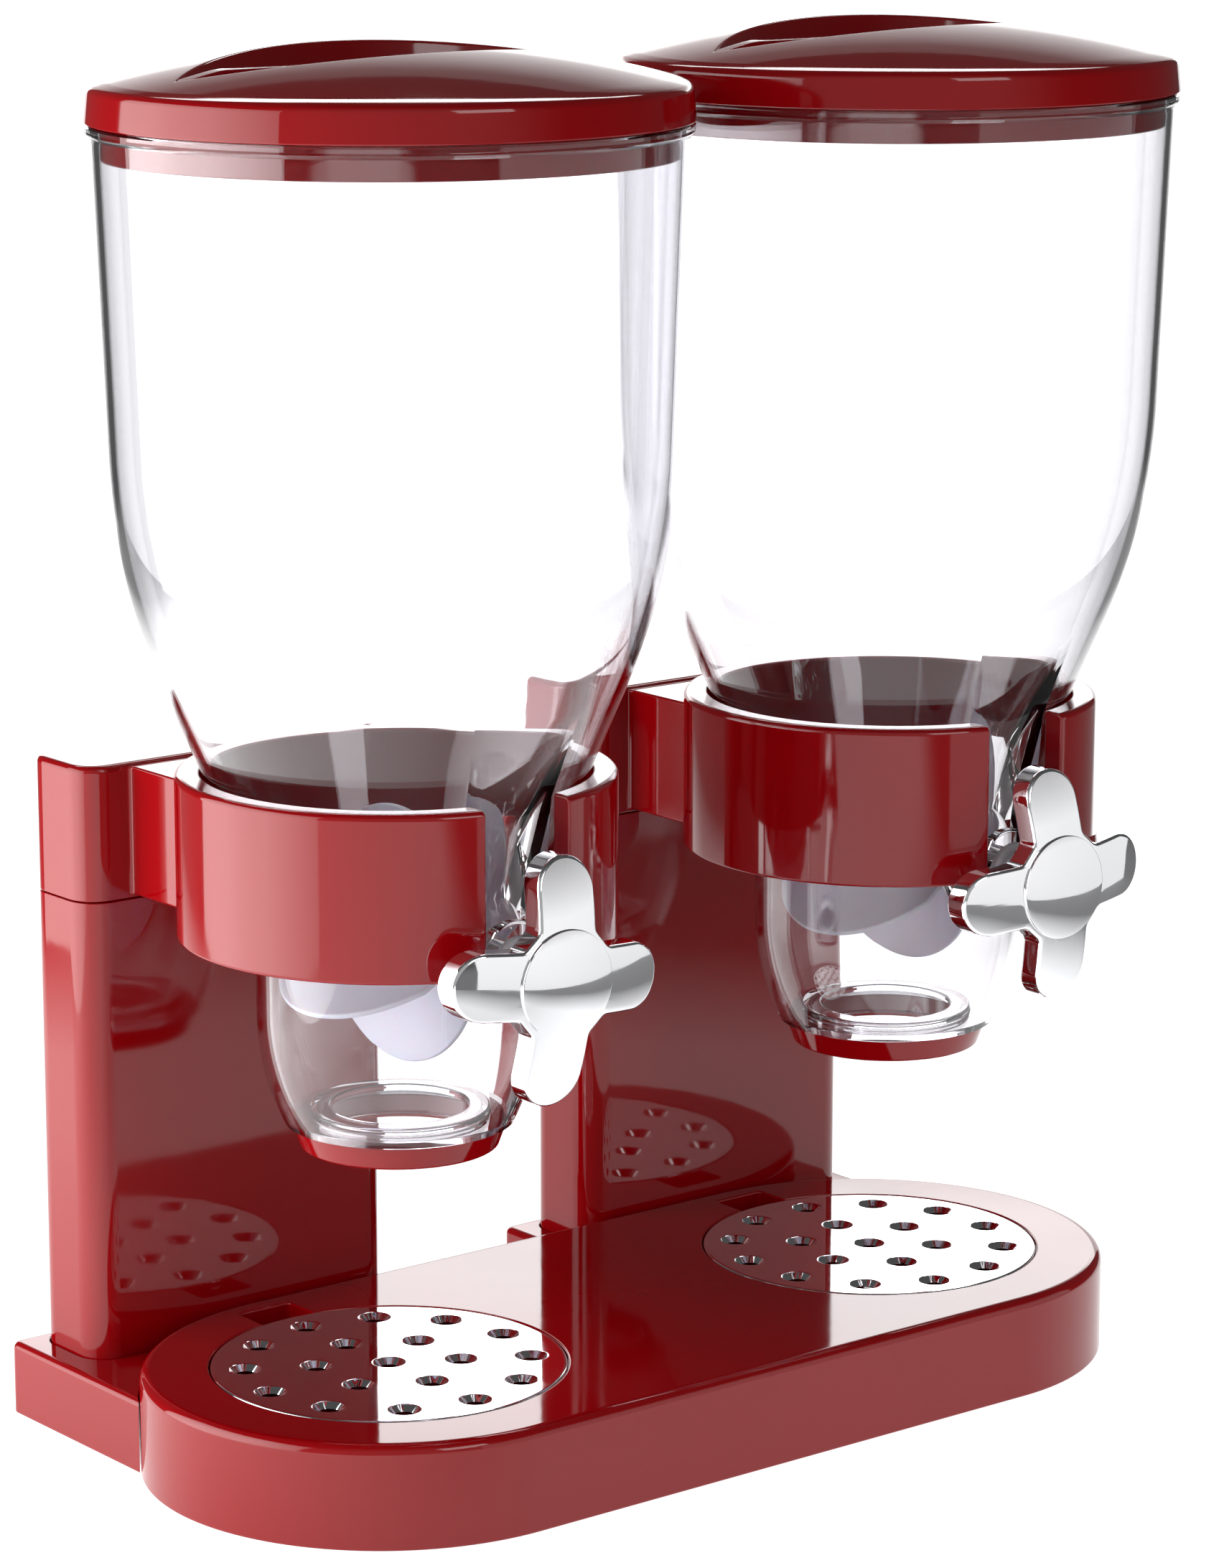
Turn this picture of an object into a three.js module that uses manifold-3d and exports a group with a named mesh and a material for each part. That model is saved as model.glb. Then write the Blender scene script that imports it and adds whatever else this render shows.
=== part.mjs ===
// A twin dry-food dispenser: two clear canisters stand over two drip trays, and a knob under each canister
// turns a soft paddle wheel that lets a portion fall through the outlet.
// Millimetres, +Z up, front towards -Y. The origin is on the ground under the middle of the whole object.
import * as THREE from "three";
import { mergeVertices } from "three/addons/utils/BufferGeometryUtils.js";
import Module from "manifold-3d";

const wasm = await Module();
wasm.setup();

// ---- Driving dimensions -------------------------------------------------------------------------------

const GAP = 0.3; // clearance between pieces that touch
const WALL = 2.5; // moulded opaque shells
const UNIT_X = 87; // each dispenser stands this far from the middle
const PAD_HEIGHT = 1.5; // the rubber feet hold the base this far off the ground

const BASE_RADIUS = 67.9;
const BASE_HEIGHT = 28.9;
const BASE_EDGE = 3;

const TRAY_RADIUS = 48.8;
const TRAY_THICKNESS = 1.8;
const TRAY_BOTTOM = BASE_HEIGHT - TRAY_THICKNESS;
const CUP_RADIUS = 47.2; // the crumb cup hangs under the tray by its rim
const CUP_WALL = 1.7;
const CUP_RIM = 1;
const CUP_BOTTOM = 13.3;
const SEAT_FLOOR = TRAY_BOTTOM - CUP_RIM - 2 * GAP;
const SEAT_COLLAR_BOTTOM = 22; // a collar under the base's top stiffens the seat
const NOTCH_HALF = 8.5;
const NOTCH_FRONT = 40;
const NOTCH_BACK = 60;
const NOTCH_FLOOR = BASE_HEIGHT - 6;

const BLOCK_HALF = 58.5;
const BLOCK_BACK = 101;
const BLOCK_HEIGHT = 20.7;
const BLOCK_FRONT = 25;
const WEB_BOTTOM = 8; // web of the block that the column stands on
const WEB_TOP = 11.7;

const COLUMN_HALF = 50.2;
const COLUMN_FRONT = 69;
const COLUMN_BACK = 98.5;
const COLUMN_CORNER = 8.5;
const COLUMN_TOP = 151;

const CANISTER_Y = -6; // the canister's axis
const RING_RADIUS = 58.8;
const RING_INSIDE = 52;
const RING_BOTTOM = 151;
const RING_TOP = 195.5;
const RING_OPENING = 13.3; // half the width of the gap at the front
const CAP_TOP = 189;
const NECK_HALF = 35;
const NECK_BOTTOM = 152;
const NECK_TOP = 188;

const CANISTER_WALL = 2.3;
const RIM_RADIUS = 77.4; // outside of the body just under the lid
const RIM_HEIGHT = 361;
const DRAFT = THREE.MathUtils.degToRad(2);
const BULGE_TOP = 280; // the wall starts to curve in here
const BULGE_RADIUS = 177;
const CONE_ANGLE = THREE.MathUtils.degToRad(22.8);
const CHAMBER_RADIUS = 38;
const CHAMBER_CURVE_TOP = 130;
const CHAMBER_CURVE = 69;
const CHAMBER_BOTTOM = 99.5;
const OUTLET_SEAT = 24.7; // radius of the hole in the chamber's floor
const FLANGE_RADIUS = 78.7;
const NECK_RADIUS = 76.6;
const NECK_RIM = 370.5;

const AXLE_HEIGHT = 151;
const AXLE_RADIUS = 3;
const COLLAR_RADIUS = 12.5;
const COLLAR_FRONT = 52; // from the canister's axis
const PAD_FACE = 49;
const WHEEL_RADIUS = 35;
const WHEEL_HALF = 31;
const FLAPS = 6;
const FLAP_THICKNESS = 1.6;
const FLAP_LEAD = THREE.MathUtils.degToRad(5); // the flaps stand this far round from the knob's lobes

const LID_RADIUS = 78.9;
const LID_BOTTOM = 366;
const LID_SHOULDER = 375.7;
const LID_TOP = 386.2;
const SKIRT_RADIUS = 74.7;
const SKIRT_WALL = 1.8;
const SKIRT_BOTTOM = 357;
const LID_CEILING = 372.5; // underside of the lid over the canister's rim
const LID_WALL = 2.2;
const POCKET_HALF = 65;
const POCKET_HALF_WIDTH = 26;
const POCKET_FLOOR = 372;
const BAR_HALF = 4.5 / 2;
const BAR_TOP = 381.4;

const KNOB_RADIUS = 33;
const LOBE_RADIUS = 9;
const LOBES = 4;
const KNOB_WAIST = 16.3; // from the knob's middle to the ends of its soft inner corners
const KNOB_BACK = 61.5; // the back of the lobes' tips, from the canister's axis
const KNOB_THICKNESS = 7;
const KNOB_RISE = 5.5; // the knob's middle bulges this far in front of the tips
const KNOB_DOME_RADIUS = 14.5;
const KNOB_DOME_HEIGHT = 1.5;
const STUB_RADIUS = 7;

const SCREW_HEAD_RADIUS = 3.2;
const SCREW_HEAD_HEIGHT = 2;
const SCREW_RADIUS = 1.5;
const PILOT_RADIUS = SCREW_RADIUS + GAP;

// Nothing reaches further forward than the lids, or further back than the rear blocks.
const MIDDLE_Y = (BLOCK_BACK + CANISTER_Y - LID_RADIUS) / 2;

// Round pieces are faceted finely where they are large.
const LARGE_ROUND = 28;
const MEDIUM_ROUND = 16;
const SMALL_ROUND = 8;
const HOLE_ROUND = 8;
const BASE_ROUND = 10; // steps in each half circle of the base
const BLOCK_ROUND = 4; // steps in each corner of a rear block
const COLUMN_ROUND = 5; // steps in each corner of a column
const LENS_ROUND = 16; // steps in each arc of the lid's pocket
const SOFT_EDGE = 2; // rounding of the blocks' and caps' top edges

// ---- Materials ----------------------------------------------------------------------------------------

const finish = (color, roughness, metalness) =>
  new THREE.MeshStandardMaterial({ color, roughness, metalness });

const redPlastic = finish(0xa3101a, 0.12, 0);
const chrome = finish(0xe8e9ec, 0.06, 1);
const clearPlastic = finish(0xf2f1f8, 0.05, 0);
clearPlastic.transparent = true;
clearPlastic.opacity = 0.3;
const softWhite = finish(0xe9e4f4, 0.45, 0);
const whitePlastic = finish(0xe6e6ea, 0.3, 0);
const steel = finish(0xb9bcc0, 0.3, 1);
const blackRubber = finish(0x1b1b1d, 0.8, 0);

// ---- Solids -------------------------------------------------------------------------------------------

/** A closed three.js geometry as a manifold solid, whichever way round its faces run. */
function solid(geometry) {
  const bare = new THREE.BufferGeometry();
  bare.setAttribute("position", geometry.getAttribute("position"));
  bare.setIndex(geometry.index);
  const merged = mergeVertices(bare);
  const triVerts = new Uint32Array(merged.index.array);
  const vertProperties = merged.getAttribute("position").array;
  const made = new wasm.Manifold(new wasm.Mesh({ numProp: 3, vertProperties, triVerts }));
  if (made.volume() >= 0) {
    return made;
  }
  triVerts.reverse();
  return new wasm.Manifold(new wasm.Mesh({ numProp: 3, vertProperties, triVerts }));
}

/** A named three.js mesh of a manifold solid. */
function meshOf(name, made, material) {
  const { vertProperties, triVerts } = made.getMesh();
  const geometry = new THREE.BufferGeometry();
  geometry.setAttribute("position", new THREE.BufferAttribute(vertProperties, 3));
  geometry.setIndex(new THREE.BufferAttribute(triVerts, 1));
  geometry.computeVertexNormals();
  const mesh = new THREE.Mesh(geometry, material);
  mesh.name = name;
  return mesh;
}

const joined = (solids) => solids.reduce((all, next) => all.add(next));

/** A body of revolution about the Z axis through (x, y), from [radius, height] pairs. */
function turned(profile, segments, x = 0, y = 0) {
  const points = profile.map(([radius, height]) => new THREE.Vector2(radius, height));
  return solid(new THREE.LatheGeometry(points, segments).rotateX(Math.PI / 2).translate(x, y, 0));
}

/** A solid cylinder about a vertical axis. */
function post(radius, bottom, top, segments, x = 0, y = 0) {
  return turned([[0, bottom], [radius, bottom], [radius, top], [0, top]], segments, x, y);
}

/** A body of revolution about the axle's line, from pairs of radius and distance towards the front. */
function aboutAxle(profile, segments) {
  const points = profile.map(([radius, front]) => new THREE.Vector2(radius, -front));
  return solid(new THREE.LatheGeometry(points, segments).translate(0, 0, AXLE_HEIGHT));
}

/** A solid cylinder about the axle's line, between two distances in front of the canister's axis. */
function spindle(radius, back, front, segments) {
  return aboutAxle([[0, back], [radius, back], [radius, front], [0, front]], segments);
}

/** A prism of a flat outline between two heights. */
function prism(shape, bottom, top, curveSegments = 12) {
  const options = { depth: top - bottom, bevelEnabled: false, curveSegments };
  return solid(new THREE.ExtrudeGeometry(shape, options).translate(0, 0, bottom));
}

/** A prism whose top edge is rounded: one rounded all over, with its lowest part cut off. */
function softPrism(shape, bottom, top, edge, curveSegments = 12) {
  const below = bottom - 2 * edge;
  const rounded = new THREE.ExtrudeGeometry(shape, {
    depth: top - below - 2 * edge,
    bevelThickness: edge,
    bevelSize: edge,
    bevelOffset: -edge,
    bevelSegments: 2,
    curveSegments,
  });
  const ground = new THREE.BoxGeometry(1000, 1000, 100).translate(0, 0, bottom - 50);
  return solid(rounded.translate(0, 0, below + edge)).subtract(solid(ground));
}

// ---- Outlines -----------------------------------------------------------------------------------------

function rectangle(left, right, front, back) {
  const shape = new THREE.Shape();
  shape.moveTo(left, front);
  shape.lineTo(right, front);
  shape.lineTo(right, back);
  shape.lineTo(left, back);
  shape.closePath();
  return shape;
}

function roundedRectangle(half, front, back, corner) {
  const shape = new THREE.Shape();
  shape.absarc(half - corner, front + corner, corner, -Math.PI / 2, 0);
  shape.absarc(half - corner, back - corner, corner, 0, Math.PI / 2);
  shape.absarc(corner - half, back - corner, corner, Math.PI / 2, Math.PI);
  shape.absarc(corner - half, front + corner, corner, Math.PI, 1.5 * Math.PI);
  shape.closePath();
  return shape;
}

/** Two half circles about the units' axes, joined by straight sides; middle is the X of its centre. */
function stadium(radius, middle = 0) {
  const shape = new THREE.Shape();
  shape.absarc(middle + UNIT_X, 0, radius, -Math.PI / 2, Math.PI / 2);
  shape.absarc(middle - UNIT_X, 0, radius, Math.PI / 2, 1.5 * Math.PI);
  shape.closePath();
  return shape;
}

/** A lens between two equal arcs, its tips on the X axis. */
function lens(half, halfWidth) {
  const radius = (half * half + halfWidth * halfWidth) / (2 * halfWidth);
  const centre = radius - halfWidth;
  const reach = Math.atan2(half, centre);
  const shape = new THREE.Shape();
  shape.absarc(0, centre, radius, -Math.PI / 2 - reach, -Math.PI / 2 + reach);
  shape.absarc(0, -centre, radius, Math.PI / 2 - reach, Math.PI / 2 + reach);
  shape.closePath();
  return shape;
}

/** The knob seen from the front: round-ended lobes that meet in soft inner corners. */
function knobOutline() {
  const shape = new THREE.Shape();
  const step = (2 * Math.PI) / LOBES;
  const around = 1.4; // each lobe's round end reaches this angle to either side of its tip
  const soft = 0.2; // half the angle that an inner corner takes up
  const tip = KNOB_RADIUS - LOBE_RADIUS;
  const bend = 0.92 * KNOB_WAIST;
  for (let lobe = 0; lobe < LOBES; lobe++) {
    const angle = lobe * step;
    const corner = angle + step / 2;
    shape.absarc(tip * Math.cos(angle), tip * Math.sin(angle), LOBE_RADIUS, angle - around, angle + around);
    shape.lineTo(KNOB_WAIST * Math.cos(corner - soft), KNOB_WAIST * Math.sin(corner - soft));
    shape.quadraticCurveTo(
      bend * Math.cos(corner),
      bend * Math.sin(corner),
      KNOB_WAIST * Math.cos(corner + soft),
      KNOB_WAIST * Math.sin(corner + soft),
    );
  }
  shape.closePath();
  return shape;
}

// ---- Base ---------------------------------------------------------------------------------------------

// Reaches under the base from each rear block; screwSeat is where its screws' heads stop.
const TONGUE = { half: 24, front: 46, bottom: 0.5, top: 5, screwSeat: 3 };
const TONGUE_SCREWS = [[-17, 57], [17, 57]];
const COLUMN_SCREWS = [[-30, 84], [30, 84]];
const PILOT_TOP = 18;
const SCREW_BOSS = 4;
const PAD_STEM = 2.5;
const PAD_STEM_TOP = 7;
const PAD_BOSS = 5;
const BASE_PAD = { x: 40.5, y: -40.5 }; // from a unit's axis, towards the outer front
const BLOCK_PADS = [[-49, 93], [49, 93]];

/** A screw boss or pad socket that stands inside a shell. */
const boss = (radius, bottom, top, x, y) => post(radius, bottom, top, SMALL_ROUND, x, y);

/** What one unit leaves standing in the base's hollow: the collar under its seat and the notch's walls. */
function seatCollar(x) {
  const collar = post(TRAY_RADIUS + GAP + WALL, SEAT_COLLAR_BOTTOM, BASE_HEIGHT, LARGE_ROUND, x);
  const notch = rectangle(x - NOTCH_HALF - WALL, x + NOTCH_HALF + WALL, NOTCH_FRONT, NOTCH_BACK + WALL);
  return collar.add(prism(notch, NOTCH_FLOOR - WALL, BASE_HEIGHT));
}

/** One unit's cuts in the base: tray seat, hole for the crumb cup, finger notch and slot for the tongue. */
function baseCuts(x, side) {
  const above = BASE_HEIGHT + 1;
  const seat = post(TRAY_RADIUS + GAP, SEAT_FLOOR, above, LARGE_ROUND, x);
  const cupHole = post(CUP_RADIUS + GAP, -1, above, LARGE_ROUND, x);
  const notchShape = rectangle(x - NOTCH_HALF, x + NOTCH_HALF, NOTCH_FRONT, NOTCH_BACK);
  const notch = prism(notchShape, NOTCH_FLOOR, above);
  const slotShape = rectangle(x - TONGUE.half - GAP, x + TONGUE.half + GAP, TONGUE.front, BASE_RADIUS + 1);
  const slot = prism(slotShape, -1, TONGUE.top + GAP);
  const stem = post(PAD_STEM + GAP, -1, PAD_STEM_TOP + GAP, SMALL_ROUND, x + side * BASE_PAD.x, BASE_PAD.y);
  const pilots = TONGUE_SCREWS.map(([px, py]) => post(PILOT_RADIUS, 0, PILOT_TOP, SMALL_ROUND, x + px, py));
  return joined([seat, cupHole, notch, slot, stem, ...pilots]);
}

function baseShell() {
  const hollow = prism(stadium(BASE_RADIUS - WALL), -1, BASE_HEIGHT - WALL, BASE_ROUND);
  const kept = [];
  const cuts = [];
  for (const side of [-1, 1]) {
    const x = side * UNIT_X;
    kept.push(seatCollar(x));
    kept.push(boss(PAD_BOSS, 0, BASE_HEIGHT, x + side * BASE_PAD.x, BASE_PAD.y));
    for (const [px, py] of TONGUE_SCREWS) {
      kept.push(boss(SCREW_BOSS, TONGUE.top + GAP, BASE_HEIGHT, x + px, py));
    }
    cuts.push(baseCuts(x, side));
  }
  const body = softPrism(stadium(BASE_RADIUS), 0, BASE_HEIGHT, BASE_EDGE, BASE_ROUND);
  return body.subtract(hollow.subtract(joined(kept))).subtract(joined(cuts));
}

/** The cup that catches what falls through the drip tray, hanging in the base by its rim. */
function crumbCup() {
  const inside = CUP_RADIUS - CUP_WALL;
  const rimTop = TRAY_BOTTOM - GAP;
  return turned(
    [
      [0, CUP_BOTTOM],
      [CUP_RADIUS, CUP_BOTTOM],
      [CUP_RADIUS, rimTop - CUP_RIM],
      [TRAY_RADIUS, rimTop - CUP_RIM],
      [TRAY_RADIUS, rimTop],
      [inside, rimTop],
      [inside, CUP_BOTTOM + CUP_WALL],
      [0, CUP_BOTTOM + CUP_WALL],
    ],
    LARGE_ROUND,
  );
}

/** A push-in rubber foot at (x, y). */
function rubberPad(x, y) {
  const flange = 6.5;
  const taper = 0.6;
  return turned(
    [
      [0, -PAD_HEIGHT],
      [flange - taper, -PAD_HEIGHT],
      [flange, -GAP],
      [PAD_STEM, -GAP],
      [PAD_STEM, PAD_STEM_TOP],
      [0, PAD_STEM_TOP],
    ],
    SMALL_ROUND,
    x,
    y,
  );
}

/** A pan-head screw driven upwards, its head's top at headTop. */
function screw(x, y, headTop, length) {
  const chamfer = 0.8;
  return turned(
    [
      [0, headTop - SCREW_HEAD_HEIGHT],
      [SCREW_HEAD_RADIUS - chamfer, headTop - SCREW_HEAD_HEIGHT],
      [SCREW_HEAD_RADIUS, headTop - SCREW_HEAD_HEIGHT + chamfer],
      [SCREW_HEAD_RADIUS, headTop],
      [SCREW_RADIUS, headTop],
      [SCREW_RADIUS, headTop + length],
      [0, headTop + length],
    ],
    SMALL_ROUND,
    x,
    y,
  );
}

/** A chrome disc with rings of funnel-shaped holes, turned by a given angle. */
function dripTray(turn) {
  const top = BASE_HEIGHT;
  const bottom = TRAY_BOTTOM;
  const mouth = 4.7;
  const throat = 2.8;
  const edge = 0.4;
  const disc = [
    [0, bottom],
    [TRAY_RADIUS, bottom],
    [TRAY_RADIUS, top - edge],
    [TRAY_RADIUS - edge, top],
    [0, top],
  ];
  const rings = [[1, 0], [6, 19.8], [12, 39.2]]; // number of holes and the radius they lie on
  const funnel = [
    [0, bottom - 1],
    [throat, bottom - 1],
    [throat, bottom],
    [mouth, top],
    [mouth, top + 1],
    [0, top + 1],
  ];
  const holes = [];
  for (const [count, radius] of rings) {
    for (let i = 0; i < count; i++) {
      const angle = turn + (2 * Math.PI * i) / count;
      holes.push(turned(funnel, HOLE_ROUND, radius * Math.cos(angle), radius * Math.sin(angle)));
    }
  }
  return turned(disc, LARGE_ROUND).subtract(joined(holes));
}

// ---- Stand --------------------------------------------------------------------------------------------

/** The block behind the base that the column plugs into, with its tongue under the base. */
function rearFoot(side) {
  const corner = 3;
  const outline = roundedRectangle(BLOCK_HALF, BLOCK_FRONT, BLOCK_BACK, corner);
  const body = softPrism(outline, 0, BLOCK_HEIGHT, SOFT_EDGE, BLOCK_ROUND);
  const inside = roundedRectangle(BLOCK_HALF - WALL, BLOCK_FRONT, BLOCK_BACK - WALL, corner - 1);
  const padBosses = BLOCK_PADS.map(([x, y]) => boss(PAD_BOSS, 0, WEB_BOTTOM, x, y));
  const hollow = prism(inside, -1, WEB_BOTTOM, BLOCK_ROUND).subtract(joined(padBosses));
  const gripped = roundedRectangle(
    COLUMN_HALF + GAP,
    COLUMN_FRONT - GAP,
    COLUMN_BACK + GAP,
    COLUMN_CORNER + GAP,
  );
  const socket = prism(gripped, WEB_TOP, BLOCK_HEIGHT + 1, COLUMN_ROUND);
  const base = prism(stadium(BASE_RADIUS + GAP, -side * UNIT_X), -1, BLOCK_HEIGHT + 1, BASE_ROUND);
  const baseWall = prism(stadium(BASE_RADIUS + WALL, -side * UNIT_X), 0, WEB_BOTTOM, BASE_ROUND);
  const frontWall = baseWall.intersect(prism(outline, 0, WEB_BOTTOM, BLOCK_ROUND));
  const block = body.subtract(hollow).add(frontWall).subtract(socket).subtract(base);
  const tongue = rectangle(-TONGUE.half, TONGUE.half, TONGUE.front + GAP, BASE_RADIUS + WALL);
  const holes = [
    ...TONGUE_SCREWS.map(([x, y]) => post(PILOT_RADIUS, -1, TONGUE.top + 1, SMALL_ROUND, x, y)),
    ...TONGUE_SCREWS.map(([x, y]) => post(SCREW_HEAD_RADIUS + GAP, -1, TONGUE.screwSeat, SMALL_ROUND, x, y)),
    ...COLUMN_SCREWS.map(([x, y]) => post(PILOT_RADIUS, 0, WEB_TOP + 1, SMALL_ROUND, x, y)),
    ...BLOCK_PADS.map(([x, y]) => post(PAD_STEM + GAP, -1, WEB_BOTTOM, SMALL_ROUND, x, y)),
  ];
  return block.add(prism(tongue, TONGUE.bottom, TONGUE.top)).subtract(joined(holes));
}

/** The column's outline, moved in by an inset. */
function columnOutline(inset) {
  const front = COLUMN_FRONT + inset;
  const back = COLUMN_BACK - inset;
  return roundedRectangle(COLUMN_HALF - inset, front, back, COLUMN_CORNER - inset);
}

/** The upright shell between the rear block and the holder. */
function column() {
  const bottom = WEB_TOP + GAP;
  const floor = bottom + 4;
  const bossTop = 28;
  const pilotTop = 26;
  const bosses = COLUMN_SCREWS.map(([x, y]) => boss(SCREW_BOSS, bottom, bossTop, x, y));
  const pilots = COLUMN_SCREWS.map(([x, y]) => post(PILOT_RADIUS, 0, pilotTop, SMALL_ROUND, x, y));
  const hollow = prism(columnOutline(WALL), floor, COLUMN_TOP + 1, COLUMN_ROUND).subtract(joined(bosses));
  return prism(columnOutline(0), bottom, COLUMN_TOP, COLUMN_ROUND).subtract(hollow).subtract(joined(pilots));
}

/** The cap over the column, the neck and the open ring that carries the canister, moulded in one. */
function holder() {
  const plugBottom = COLUMN_TOP - 13;
  const plugInset = WALL + GAP;
  const neckFront = CANISTER_Y + 40; // inside the ring
  const cap = softPrism(columnOutline(0), COLUMN_TOP + GAP, CAP_TOP, SOFT_EDGE, COLUMN_ROUND);
  const plug = prism(columnOutline(plugInset), plugBottom, COLUMN_TOP + 2, COLUMN_ROUND);
  const neck = prism(rectangle(-NECK_HALF, NECK_HALF, neckFront, COLUMN_FRONT + 5), NECK_BOTTOM, NECK_TOP);
  const ringOutside = post(RING_RADIUS, RING_BOTTOM, RING_TOP, LARGE_ROUND, 0, CANISTER_Y);
  const capHollow = prism(columnOutline(plugInset + WALL), plugBottom - 1, CAP_TOP - WALL, COLUMN_ROUND);
  const neckInside = rectangle(WALL - NECK_HALF, NECK_HALF - WALL, neckFront, COLUMN_FRONT + 10);
  const neckHollow = prism(neckInside, NECK_BOTTOM + WALL, NECK_TOP - WALL).subtract(ringOutside);
  const softEdge = 0.8;
  const ring = turned(
    [
      [0, RING_BOTTOM],
      [RING_RADIUS - softEdge, RING_BOTTOM],
      [RING_RADIUS, RING_BOTTOM + softEdge],
      [RING_RADIUS, RING_TOP - 2 * softEdge],
      [RING_RADIUS - 2 * softEdge, RING_TOP],
      [0, RING_TOP],
    ],
    LARGE_ROUND,
    0,
    CANISTER_Y,
  );
  const bore = post(RING_INSIDE, RING_BOTTOM - 1, RING_TOP + 1, LARGE_ROUND, 0, CANISTER_Y);
  const opening = rectangle(-RING_OPENING, RING_OPENING, CANISTER_Y - RING_RADIUS - 1, CANISTER_Y);
  const gap = prism(opening, RING_BOTTOM - 1, RING_TOP + 1);
  return joined([cap, plug, neck, ring]).subtract(joined([capHollow, neckHollow, bore, gap]));
}

// ---- Canister -----------------------------------------------------------------------------------------

/**
 * The canister's side from its rim to the chamber's floor, as [radius, height] pairs, moved in by an inset:
 * a drafted wall, an arc that turns it into a cone, a straight chamber and an arc in to the outlet.
 */
function sideProfile(inset) {
  const points = [[RIM_RADIUS - inset, RIM_HEIGHT]];
  const bulgeX = RIM_RADIUS - (RIM_HEIGHT - BULGE_TOP) * Math.tan(DRAFT) - BULGE_RADIUS * Math.cos(DRAFT);
  const bulgeZ = BULGE_TOP + BULGE_RADIUS * Math.sin(DRAFT);
  const radius = BULGE_RADIUS - inset;
  const bulgeSteps = 5;
  for (let i = 0; i <= bulgeSteps; i++) {
    const angle = DRAFT + ((CONE_ANGLE - DRAFT) * i) / bulgeSteps;
    points.push([bulgeX + radius * Math.cos(angle), bulgeZ - radius * Math.sin(angle)]);
  }
  const [coneRadius, coneTop] = points.at(-1);
  const chamberTop = coneTop - (coneRadius - CHAMBER_RADIUS + inset) / Math.tan(CONE_ANGLE);
  points.push([CHAMBER_RADIUS - inset, chamberTop]);
  const curveSteps = 3;
  const bottom = CHAMBER_BOTTOM + inset;
  const reach = Math.asin((CHAMBER_CURVE_TOP - bottom) / (CHAMBER_CURVE - inset));
  for (let i = 0; i <= curveSteps; i++) {
    const angle = (reach * i) / curveSteps;
    points.push([
      CHAMBER_RADIUS - CHAMBER_CURVE + (CHAMBER_CURVE - inset) * Math.cos(angle),
      CHAMBER_CURVE_TOP - (CHAMBER_CURVE - inset) * Math.sin(angle),
    ]);
  }
  return points;
}

/** The outline of the flat pad on the canister's front, wide under the cone and narrow beside the axle. */
function padOutline() {
  const top = AXLE_HEIGHT + 46;
  const topHalf = 15;
  const shoulder = AXLE_HEIGHT + 24;
  const shape = new THREE.Shape();
  shape.moveTo(-topHalf, top);
  shape.lineTo(-COLLAR_RADIUS, shoulder);
  shape.lineTo(-COLLAR_RADIUS, AXLE_HEIGHT);
  shape.lineTo(COLLAR_RADIUS, AXLE_HEIGHT);
  shape.lineTo(COLLAR_RADIUS, shoulder);
  shape.lineTo(topHalf, top);
  shape.closePath();
  return shape;
}

const BUSH_RADIUS = 6.5;
const REAR_SOCKET = { radius: 7, back: 43, hole: 41 }; // distances behind the canister's axis

/** The canister's outside without its fittings: neck, flange, side and floor. */
function canisterOutside() {
  const flangeTop = LID_BOTTOM - GAP;
  const flangeBottom = flangeTop - 2.6;
  const profile = [
    [0, NECK_RIM],
    [NECK_RADIUS, NECK_RIM],
    [NECK_RADIUS, flangeTop],
    [FLANGE_RADIUS, flangeTop],
    [FLANGE_RADIUS, flangeBottom],
    ...sideProfile(0),
    [0, CHAMBER_BOTTOM],
  ];
  return turned(profile, LARGE_ROUND);
}

/** The space in the canister, open at the top. */
function canisterInside() {
  const above = NECK_RIM + 1;
  const profile = [
    [0, above],
    [RIM_RADIUS - CANISTER_WALL, above],
    ...sideProfile(CANISTER_WALL),
    [0, CHAMBER_BOTTOM + CANISTER_WALL],
  ];
  return turned(profile, LARGE_ROUND);
}

function canister() {
  const buried = 20; // the fittings start this far from the axis, inside the chamber
  const pad = new THREE.ExtrudeGeometry(padOutline(), { depth: PAD_FACE - buried, bevelEnabled: false });
  const padSolid = solid(pad.rotateX(Math.PI / 2).translate(0, -buried, 0));
  const collar = spindle(COLLAR_RADIUS, buried, COLLAR_FRONT, MEDIUM_ROUND);
  const rearSocket = spindle(REAR_SOCKET.radius, -buried, -REAR_SOCKET.back, SMALL_ROUND);
  return joined([canisterOutside(), padSolid, collar, rearSocket])
    .subtract(canisterInside())
    .subtract(spindle(BUSH_RADIUS + GAP, 0, COLLAR_FRONT + 1, MEDIUM_ROUND))
    .subtract(spindle(AXLE_RADIUS + GAP, 0, -REAR_SOCKET.hole, SMALL_ROUND))
    .subtract(post(OUTLET_SEAT, CHAMBER_BOTTOM - 1, CHAMBER_BOTTOM + 10, MEDIUM_ROUND));
}

const OUTLET_BOTTOM = 92.5;
const OUTLET_HOLE = 18.7;

/** The clear collar pushed into the hole in the chamber's floor, with a flat lip round the outlet. */
function outletCollar() {
  const outside = OUTLET_SEAT - GAP;
  const inside = outside - 2;
  const bottom = OUTLET_BOTTOM + 1.5;
  const lipTop = CHAMBER_BOTTOM + 4.2;
  const lipBottom = lipTop - 2;
  return turned(
    [
      [OUTLET_HOLE, lipBottom],
      [inside, lipBottom],
      [inside, bottom],
      [outside, bottom],
      [outside, lipTop],
      [OUTLET_HOLE, lipTop],
      [OUTLET_HOLE, lipBottom],
    ],
    MEDIUM_ROUND,
  );
}

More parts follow.
